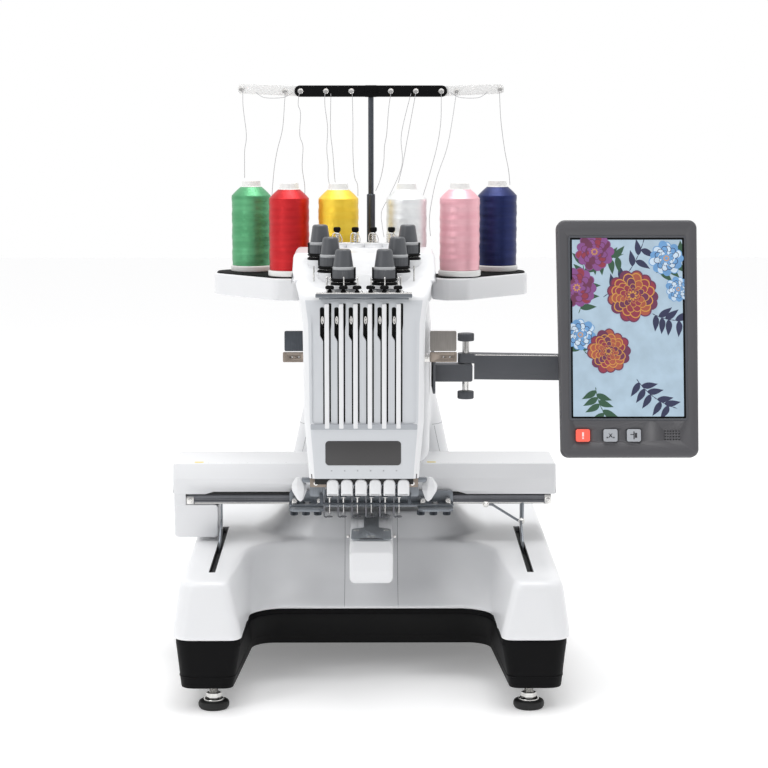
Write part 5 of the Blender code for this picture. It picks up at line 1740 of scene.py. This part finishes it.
# The points that each loose thread hangs through, from its eyelet down to its free end.
THREAD_PATHS = {
    "green": [
        (-0.1677, 0.3432, 0.739), (-0.1675, 0.3432, 0.7175), (-0.1638, 0.3432, 0.6859),
        (-0.164, 0.3432, 0.6726), (-0.166, 0.3432, 0.6593), (-0.1663, 0.3432, 0.6247),
    ],
    "red_outer": [
        (-0.1118, 0.3432, 0.7376), (-0.1131, 0.3432, 0.724), (-0.116, 0.3432, 0.6892),
        (-0.1235, 0.3432, 0.6593), (-0.1278, 0.3432, 0.6326), (-0.1307, 0.3432, 0.5997),
    ],
    # """The bobbin case of the rotary hook, behind the cover."""
    "red_inner": [
        (-0.0933, 0.3432, 0.7382), (-0.0953, 0.3413, 0.7208), (-0.0921, 0.3394, 0.7092),
        (-0.0933, 0.3375, 0.6811), (-0.0891, 0.3357, 0.6661), (-0.0902, 0.3338, 0.6394),
        (-0.087, 0.3319, 0.6162), (-0.0869, 0.33, 0.603),
    ],
    "yellow_left": [
        (-0.0601, 0.3432, 0.7382), (-0.0602, 0.3393, 0.7192), (-0.0567, 0.3355, 0.691),
        (-0.0578, 0.3316, 0.663), (-0.056, 0.3277, 0.643), (-0.056, 0.3239, 0.6267),
        (-0.0544, 0.32, 0.6178),
    ],
    "yellow_mid": [
        (-0.0524, 0.3432, 0.735), (-0.0529, 0.3374, 0.6863), (-0.0501, 0.3316, 0.6596),
        (-0.0477, 0.3258, 0.6281), (-0.0464, 0.32, 0.6178),
    ],
    "yellow_right": [
        (-0.0246, 0.3432, 0.7382), (-0.0236, 0.339, 0.6993), (-0.0236, 0.3347, 0.6578),
        (-0.0217, 0.3305, 0.6279), (-0.0176, 0.3262, 0.6165), (-0.0171, 0.322, 0.602),
    ],
    "white_left": [
        (0.0267, 0.3432, 0.7382), (0.0233, 0.341, 0.7158), (0.0207, 0.3388, 0.6826),
        (0.0178, 0.3366, 0.6661), (0.0167, 0.3344, 0.6446), (0.0122, 0.3322, 0.6229),
        (0.0061, 0.33, 0.6082),
    ],
    "white_front": [
        (0.0525, 0.3432, 0.735), (0.0399, 0.3293, 0.6828), (0.041, 0.3154, 0.6517),
        (0.0378, 0.3015, 0.634), (0.0228, 0.2877, 0.6017), (0.0137, 0.2738, 0.5842),
        (0.0144, 0.2599, 0.567), (0.0166, 0.246, 0.5533),
    ],
    "white_right": [
        (0.0593, 0.3432, 0.7382), (0.0475, 0.3374, 0.6746), (0.0415, 0.3316, 0.6421),
        (0.0368, 0.3258, 0.6227), (0.0336, 0.32, 0.6112),
    ],
    "pink_inner": [
        (0.0921, 0.3432, 0.7382), (0.0917, 0.3374, 0.7006), (0.0869, 0.3316, 0.6682),
        (0.0776, 0.3258, 0.6332), (0.0676, 0.32, 0.6008),
    ],
    "pink_outer": [
        (0.1122, 0.3432, 0.7376), (0.1052, 0.327, 0.6942), (0.0981, 0.3107, 0.6622),
        (0.0845, 0.2945, 0.6239), (0.0757, 0.2782, 0.5796), (0.0763, 0.262, 0.5536),
    ],
    "navy": [
        (0.1684, 0.3432, 0.739), (0.1706, 0.3432, 0.7005), (0.1759, 0.3432, 0.6614),
        (0.1812, 0.3432, 0.6352), (0.1832, 0.3432, 0.6155),
    ],
}
SLACK_PATHS = {
    "left": [
        (-0.1508, 0.3435, 0.7366), (-0.1413, 0.3435, 0.7302), (-0.1286, 0.3435, 0.7289),
        (-0.1134, 0.3435, 0.7302), (-0.1025, 0.3435, 0.7360),
    ],
    "right": [
        (0.1527, 0.3435, 0.7366), (0.1431, 0.3435, 0.7302), (0.1304, 0.3435, 0.7289),
        (0.1152, 0.3435, 0.7302), (0.1045, 0.3435, 0.7360),
    ],
}


def thread_piece(name, points, body):
    """One thread as a thin tube."""
    bm, done = piece(name, THREAD_LINE, body, angle=60)
    path = curve_points(points, 36)
    tube_into(bm, path, THREAD_RADIUS, 8)
    thread = done()
    return thread


def make_threads():
    for name, points in THREAD_PATHS.items():
        thread = thread_piece(f"thread_{name}", points, "root")
        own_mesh(thread)
    for side, points in SLACK_PATHS.items():
        thread_piece(f"thread_slack_{side}", points, f"guide_arm_{side}")


# Panel ----------------------------------------------------------------------------------------


def lean(bm):
    """Leans what was built upright back with the panel."""
    middle = Matrix.Translation(PANEL_CENTRE)
    turn = middle @ Matrix.Rotation(-PANEL_LEAN, 4, "X") @ middle.inverted()
    bmesh.ops.transform(bm, matrix=turn, verts=bm.verts)


def make_panel_mounting():
    x, y = PIVOT
    bm, done = piece("clamp_bracket", COATED, "root", "panel_bracket", 30)
    slab_into(bm, box_corners((0.0790, 0.3770), (0.1270, 0.3990), 0.0025), 0.1690, 0.1910, "XZ", 0.0012)
    slab_into(bm, box_corners((0.1500, 0.3640), (0.2300, 0.4120), 0.0040), 0.0768, 0.0800, "YZ", 0.0008)
    for low in (0.3545, 0.4275):
        knob = [
            (0.0, low), (0.0096, low), (0.0103, low + 0.0008), (0.0103, low + 0.0088),
            (0.0096, low + 0.0096), (0.0, low + 0.0096),
        ]
        knurled_into(bm, [(max(r, 0.0004), z) for r, z in softened(knob, 0.0003, 2)], (x, y, 0), 34, 0.0005)
    done()
    bm, done = piece("clamp_rod", FINE_STEEL, "root", angle=30)
    rod = softened([(0.0, 0.3560), (0.0044, 0.3560), (0.0044, 0.4350), (0.0, 0.4350)], 0.0005)
    turn_into(bm, rod, (x, y, 0), sides=32)
    for z in (0.1640, 0.2160):
        screw_into(bm, (0.0800, z, 0.4040), 0.0030, 0.0008, "X")
    done()
    bm, done = piece("panel_arm_bar", COATED, "panel_arm_body", "panel_arm", 30)
    outline = [
        (x - 0.0100, y - 0.0090, 0.006), (0.2750, 0.1560, 0.003), (0.2750, 0.1680, 0.003),
        (x + 0.0120, y + 0.0100, 0.006), (x - 0.0100, y + 0.0100, 0.006),
    ]
    slab_into(bm, outline, 0.4000, 0.4120, "XY", 0.0008, 8)
    arm = done()
    way = bmesh.new()
    turn_into(way, [(0.0, 0.390), (0.0053, 0.390), (0.0053, 0.420), (0.0, 0.420)], (x, y, 0), sides=28)
    carve(arm, way)
    bm, done = piece("panel_arm_web", COATED, "panel_arm_body", angle=30)
    web = [
        (x + 0.0100, y - 0.0110, 0), (0.2750, 0.1560, 0), (0.2750, 0.1590, 0), (x + 0.0130, y - 0.0070, 0)
    ]
    slab_into(bm, web, 0.3800, 0.4060, "XY", 0.0006)
    done()
    bm, done = piece("panel_arm_rim", FINE_STEEL, "panel_arm_body")
    rim = [
        (x + 0.0110, y - 0.0113, 0), (0.2745, 0.1557, 0), (0.2745, 0.1566, 0), (x + 0.0110, y - 0.0104, 0)
    ]
    slab_into(bm, rim, 0.4104, 0.4114, "XY", 0.0002)
    done()


def panel_corners(inset=0.0, radius=0.010):
    (x, _, z), (width, _, height) = PANEL_CENTRE, PANEL_SIZE
    return [
        (x + width / 2 - 0.0010 - inset, z - height / 2 + inset, radius),
        (x + width / 2 - inset, z + height / 2 - inset, radius),
        (x - width / 2 + inset, z + height / 2 - inset, radius),
        (x - width / 2 + 0.0040 + inset, z - height / 2 + inset, radius),
    ]


def make_panel():
    (x, y, z), (_, depth, _) = PANEL_CENTRE, PANEL_SIZE
    front, rear = y - depth / 2, y + depth / 2
    button_z = z - 0.1190
    button_x = [x - 0.0560, x - 0.0225, x + 0.0060]

    bm, done = piece("panel_case", PANEL_GREY, "panel", "panel_housing", 40)
    slab_into(bm, panel_corners(), front, rear, "XZ", 0.0032, 12)
    lean(bm)
    case = done()
    cuts = bmesh.new()
    slab_into(
        cuts, box_corners((x - 0.0700, z - 0.0985), (x + 0.0700, z + 0.1235), 0.0012), front - 0.010,
        front + 0.0040, "XZ",
    )
    for centre in button_x:
        slab_into(
            cuts,
            box_corners((centre - 0.0090, button_z - 0.0080), (centre + 0.0090, button_z + 0.0080), 0.0024),
            front - 0.010, front + 0.0060, "XZ",
        )
    for row in range(4):
        for column in range(6):
            hole = (x + 0.0440 + column * 0.0034, button_z - 0.0050 + row * 0.0034)
            turn_into(
                cuts,
                [
                    (0.0, -front - 0.0020), (0.0010, -front - 0.0020), (0.0010, -front + 0.010),
                    (0.0, -front + 0.010),
                ],
                (hole[0], 0, hole[1]), "FACE", 10,
            )
    lean(cuts)
    carve(case, cuts)
    ears, ears_done = piece("panel_ears", PANEL_GREY, "panel", angle=30)
    block_into(ears, (0.2420, 0.1200, 0.3870), (0.2740, 0.1540, 0.3990), 0.0016)
    ears_done()
    bm, done = piece("panel_seam", GAP_AND_SHADE_BLACK, "panel")
    slab_into(bm, panel_corners(-0.0002), y + 0.0020, y + 0.0026, "XZ", 0.0, 12)
    lean(bm)
    done()
    # The inner bezel line around the face.
    bm, done = piece("panel_face_line", COATED, "panel")
    frame_into(
        bm, box_corners((x - 0.0722, z - 0.1008), (x + 0.0722, z + 0.1258), 0.003), 0.0016, front - 0.0002,
        front + 0.0006,
    )
    lean(bm)
    done()
    make_screen()
    make_buttons(button_x, button_z, front)


def frame_into(bm, corners, width, low, high):
    """A thin flat frame that follows an outline."""
    outer = rounded(corners, 6)
    middle = sum(outer, Vector((0, 0))) / len(outer)
    inner = []
    for point in outer:
        off = point - middle
        reach = Vector((off.x - math.copysign(width, off.x), off.y - math.copysign(width, off.y)))
        inner.append(middle + reach)
    loops = [
        [(p.x, level, p.y) for p in ring]
        for ring, level in ((outer, low), (inner, low), (inner, high), (outer, high))
    ]
    made = [[bm.verts.new(point) for point in loop] for loop in loops]
    count = len(outer)
    for index, ring in enumerate(made):
        following = made[(index + 1) % 4]
        for step in range(count):
            after = (step + 1) % count
            bm.faces.new((ring[step], ring[after], following[after], following[step]))


def flat_into(bm, outline, level, material_index=0, thickness=0.00005):
    """A paper-thin shape of the printed picture."""
    loft_into(
        bm, [[(a, level + thickness, b) for a, b in outline], [(a, level, b) for a, b in outline]],
        material_index=material_index,
    )


def petal(cx, cz, angle, length, width, curl=0.0, count=14):
    """The outline of one petal or leaf that starts at a point."""
    left, right = [], []
    for step in range(count + 1):
        share = step / count
        spread_at = width * math.sin(math.pi * share ** 0.8) * (1 - 0.25 * share)
        bend = curl * share * share * length
        for side, store in ((1, left), (-1, right)):
            along, across = share * length, side * spread_at + bend
            store.append((
                cx + along * math.cos(angle) - across * math.sin(angle),
                cz + along * math.sin(angle) + across * math.cos(angle),
            ))
    return left[:-1] + right[::-1][:-1]


def lobe(cx, cz, size, angle, count=18):
    """A rounded petal tip, a little longer than it is wide."""
    points = []
    for step in range(count):
        turn = math.tau * step / count
        along, across = size * math.cos(turn), size * 0.84 * math.sin(turn)
        points.append((
            cx + along * math.cos(angle) - across * math.sin(angle),
            cz + along * math.sin(angle) + across * math.cos(angle),
        ))
    return points


SCREEN_INKS = {
    "sky": (0.46, 0.60, 0.72),
    "plum": (0.16, 0.035, 0.09),
    "wine": (0.30, 0.04, 0.07),
    "rose": (0.42, 0.10, 0.06),
    "gold": (0.66, 0.32, 0.07),
    "leaf": (0.035, 0.10, 0.055),
    "ink": (0.03, 0.035, 0.09),
    "violet": (0.26, 0.08, 0.27),
    "blue": (0.16, 0.36, 0.66),
    "mist": (0.62, 0.76, 0.90),
}


def screen_look(name):
    """A lit picture behind glass: its colour shows by its own light."""
    colour = SCREEN_INKS[name]
    look = Look(f"screen_{name}", tuple(c * 0.55 for c in colour), 0.16, **{"Coat Weight": 0.6})
    look.set("Emission Color", (*colour, 1))
    look.set("Emission Strength", 0.42)
    darker = tuple(c * 0.46 for c in colour)
    look.colour(look.noise(60), darker, tuple(c * 0.60 for c in colour))
    return look.made


def make_screen():
    """The glass with a made-up picture of flowers, all petals and leaves drawn in code."""
    (x, y, z), (_, depth, _) = PANEL_CENTRE, PANEL_SIZE
    front = y - depth / 2
    level = front + 0.0006
    half_x, low, high = SCREEN_HALF, z - SCREEN_BELOW, z + SCREEN_ABOVE
    names = list(SCREEN_INKS)
    bm, done = piece("screen_picture", screen_look(names[0]), "panel", "touch_screen", 60)
    slab_into(bm, box_corners((x - half_x, low), (x + half_x, high), 0.0008), level, front + 0.0036, "XZ")
    rng = random.Random(7)
    depth_now = [level]

    def draw(outline, ink):
        kept = [(min(max(a, x - half_x), x + half_x), min(max(b, low), high)) for a, b in outline]
        depth_now[0] -= 0.0000012
        flat_into(bm, kept, depth_now[0], names.index(ink), 0.0000006)

    def bloom(cx, cz, size, inks, rings=5, edge="gold"):
        for ring in range(rings):
            reach = size * (1 - ring / (rings + 0.6))
            petals = 13 - ring
            for step in range(petals):
                angle = math.tau * (step + ring * 0.5) / petals + rng.uniform(-0.12, 0.12)
                start = reach * rng.uniform(0.62, 0.72)
                at = (cx + start * math.cos(angle), cz + start * math.sin(angle))
                draw(lobe(*at, reach * 0.30, angle), edge if ring else inks[0])
                draw(lobe(*at, reach * 0.25, angle), inks[(step + ring) % 4])
            draw(lobe(cx, cz, reach * 0.66, 0), inks[ring % 2])
        for step in range(9):
            angle = math.tau * step / 9
            at = (cx + size * 0.08 * math.cos(angle), cz + size * 0.08 * math.sin(angle))
            draw(petal(*at, angle, size * 0.12, size * 0.04), "gold")

    def spray(cx, cz, angle, length, count, ink, size):
        stem = [
            (
                cx + length * t / 12 * math.cos(angle + 0.03 * t),
                cz + length * t / 12 * math.sin(angle + 0.03 * t),
            ) for t in range(13)
        ]
        for a, b in zip(stem, stem[1:]):
            way = math.atan2(b[1] - a[1], b[0] - a[0])
            draw(petal(*a, way, math.dist(a, b) * 1.3, 0.0006), ink)
        for step in range(count):
            spot = stem[min(12, int(1 + 11 * step / count))]
            side = 1 if step % 2 else -1
            draw(petal(*spot, angle + side * 0.9, size, size * 0.22, side * 0.2), ink)

    for start, angle, length, ink in (
        ((x - 0.060, z + 0.030), 1.2, 0.080, "leaf"), ((x - 0.030, z + 0.050), 0.6, 0.090, "ink"),
        ((x + 0.030, z + 0.030), -0.5, 0.050, "ink"), ((x - 0.050, z - 0.020), 2.2, 0.060, "leaf"),
        ((x + 0.010, z - 0.050), -1.0, 0.060, "ink"), ((x - 0.040, z - 0.060), -1.5, 0.050, "leaf"),
        ((x + 0.035, z + 0.080), 0.4, 0.060, "leaf"), ((x - 0.055, z + 0.100), -0.3, 0.050, "leaf"),
    ):
        spray(*start, angle, length, 9, ink, 0.020)
    for cx, cz, size in ((x - 0.062, z + 0.062, 0.026), (x - 0.040, z + 0.106, 0.024)):
        bloom(cx, cz, size, ("violet", "plum", "violet", "wine"), 3, "plum")
    for cx, cz, size in (
        (x + 0.048, z + 0.098, 0.022), (x - 0.058, z + 0.004, 0.020), (x + 0.062, z + 0.060, 0.016)
    ):
        bloom(cx, cz, size, ("blue", "mist", "blue", "mist"), 3, "ink")
    bloom(x + 0.006, z + 0.052, 0.034, ("plum", "wine", "wine", "rose"))
    bloom(x - 0.024, z - 0.016, 0.028, ("plum", "wine", "rose", "rose"))
    lean(bm)
    done(*[screen_look(name) for name in names[1:]])
    bm, done = piece("screen_bezel", BLACK, "panel")
    frame_into(
        bm, box_corners((x - half_x, low), (x + half_x, high), 0.0008), 0.0022, level - 0.00025,
        level + 0.0004,
    )
    lean(bm)
    done()


def make_buttons(button_x, button_z, front):
    names = ("start_stop_button", "thread_cut_button", "threading_button")
    looks = (RED_BUTTON, PALE_BUTTON, PALE_BUTTON)
    for name, look, centre in zip(names, looks, button_x):
        bm, done = piece(f"{name}_face", look, f"{name}_body", name, 40)
        corners = box_corners(
            (centre - 0.0086, button_z - 0.0076), (centre + 0.0086, button_z + 0.0076), 0.0024
        )
        slab_into(bm, corners, front - 0.0014, front + 0.0035, "XZ", 0.0007, 8)
        lean(bm)
        done()
        # Plain marks: a bar over a dot, crossed strokes over two dots, and a line with blocks beside it.
        bm, done = piece(
            f"{name}_mark", ICON if look is PALE_BUTTON else ICON_LIGHT, f"{name}_body"
        )
        level = front - 0.00145
        if name == "start_stop_button":
            flat_into(bm, rect(centre, button_z + 0.0012, 0.0011, 0.0026), level)
            flat_into(bm, rect(centre, button_z - 0.0034, 0.0010, 0.0010), level)
        elif name == "thread_cut_button":
            for way in (0.9, math.pi - 0.9):
                flat_into(
                    bm,
                    petal(
                        centre - 0.0042 * math.cos(way), button_z - 0.0042 * math.sin(way), way, 0.0084,
                        0.0008,
                    ),
                    level,
                )
            for side in (-1, 1):
                flat_into(
                    bm, petal(centre + side * 0.0040, button_z - 0.0036, 1.57, 0.0022, 0.0012),
                    level - 0.00001,
                )
        else:
            flat_into(bm, rect(centre, button_z, 0.0007, 0.0048), level)
            flat_into(bm, rect(centre - 0.0022, button_z + 0.0010, 0.0022, 0.0005), level - 0.00001)
            flat_into(bm, rect(centre + 0.0024, button_z, 0.0014, 0.0030), level - 0.00001)
        lean(bm)
        done()


def rect(cx, cz, half_x, half_z):
    return [
        (cx - half_x, cz - half_z), (cx + half_x, cz - half_z), (cx + half_x, cz + half_z),
        (cx - half_x, cz + half_z),
    ]


# Stage ----------------------------------------------------------------------------------------


FLOOR_GLOW = 0.215


def make_stage():
    bpy.ops.mesh.primitive_plane_add(size=14, location=(0, 0, 0))
    floor = bpy.context.object
    floor.name = "studio_floor"
    look = Look("floor_white", (0.93, 0.93, 0.93), 0.9)
    look.bump(look.noise(90), 0.02, 0.0001)
    look.set("Emission Color", (1, 1, 1, 1))
    look.set("Emission Strength", FLOOR_GLOW)
    floor.data.materials.append(look.made)


def area_light(name, at, towards, size, power, colour=(1, 1, 1)):
    light = bpy.data.lights.new(name, "AREA")
    light.shape = "RECTANGLE"
    light.size, light.size_y = size
    light.energy = power
    light.color = colour
    obj = bpy.data.objects.new(name, light)
    bpy.context.scene.collection.objects.link(obj)
    obj.location = Vector(at) + SHIFT
    way = Vector(towards) + SHIFT - obj.location
    obj.rotation_euler = way.to_track_quat("-Z", "Y").to_euler()


def make_lights():
    """A white studio: bright behind and above the machine, dimmer in front and at the sides."""
    world = bpy.data.worlds.new("studio")
    world.use_nodes = True
    nodes, links = world.node_tree.nodes, world.node_tree.links
    place = nodes.new("ShaderNodeTexCoord")
    split = nodes.new("ShaderNodeSeparateXYZ")
    links.new(place.outputs["Generated"], split.inputs["Vector"])
    ramp = nodes.new("ShaderNodeValToRGB")
    ramp.color_ramp.elements[0].position = 0.20
    ramp.color_ramp.elements[0].color = (0.50, 0.50, 0.51, 1)
    ramp.color_ramp.elements[1].position = 0.62
    ramp.color_ramp.elements[1].color = (1, 1, 1, 1)
    towards = nodes.new("ShaderNodeMath")
    towards.operation = "MULTIPLY_ADD"
    towards.inputs[1].default_value = 0.5
    towards.inputs[2].default_value = 0.5
    links.new(split.outputs["Y"], towards.inputs[0])
    links.new(towards.outputs["Value"], ramp.inputs["Fac"])
    background = nodes["Background"]
    links.new(ramp.outputs["Color"], background.inputs["Color"])
    background.inputs["Strength"].default_value = 1.0
    bpy.context.scene.world = world
    middle = (0.02, 0.20, 0.32)
    area_light("key_left", (-1.3, -1.2, 2.0), middle, (0.9, 0.9), 9)
    area_light("fill_right", (1.9, -1.0, 1.0), middle, (1.0, 1.4), 2.0)
    area_light("strip_left", (-1.5, -1.3, 0.75), middle, (0.10, 1.5), 3.5)
    area_light("top", (0.1, 0.3, 2.2), middle, (1.4, 0.9), 20)


CAMERA_AT = (0.0, -2.461, 0.729)
CAMERA_LENS = 99.4
CAMERA_SENSOR = 36
CAMERA_PITCH = 7.68
CAMERA_YAW = -0.351


def make_camera():
    camera = bpy.data.cameras.new("camera")
    camera.lens = CAMERA_LENS
    camera.sensor_width = CAMERA_SENSOR
    camera.clip_end = 50
    obj = bpy.data.objects.new("camera", camera)
    bpy.context.scene.collection.objects.link(obj)
    obj.location = Vector(CAMERA_AT) + SHIFT
    obj.rotation_euler = (math.radians(90 - CAMERA_PITCH), 0, math.radians(CAMERA_YAW))
    bpy.context.scene.camera = obj
    bpy.context.scene.view_settings.view_transform = "Standard"


def make_inner_looks():
    """Gives the parts inside, which stay as the CAD has them, the look of their metal or plastic."""
    looks = {
        "frame_casting": CAST, "main_motor": DARK_STEEL, "main_shaft": STEEL, "rotary_hook": FINE_STEEL
    }
    for name, look in looks.items():
        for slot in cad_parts[name].material_slots:
            slot.material = look


make_stage()
make_lights()
make_camera()

shell = make_shell()
make_shell_details(shell)
make_rear_cover()
make_slot_liners()
make_band()
make_feet()
make_free_arm()
make_hook_cover()
make_hook_parts()
make_wing()
make_rail()
make_blades()
make_frame_holder()
make_case()
make_case_shade_sheet()
make_case_front()
make_case_frame()
make_guide_plate()
make_knobs()
make_pre_tensions()
make_needle_bars()
make_take_up_levers()
make_side_plates()
make_stand_base()
make_stand_wings()
make_spools()
make_guide_bar()
make_threads()
make_panel_mounting()
make_panel()
make_inner_looks()
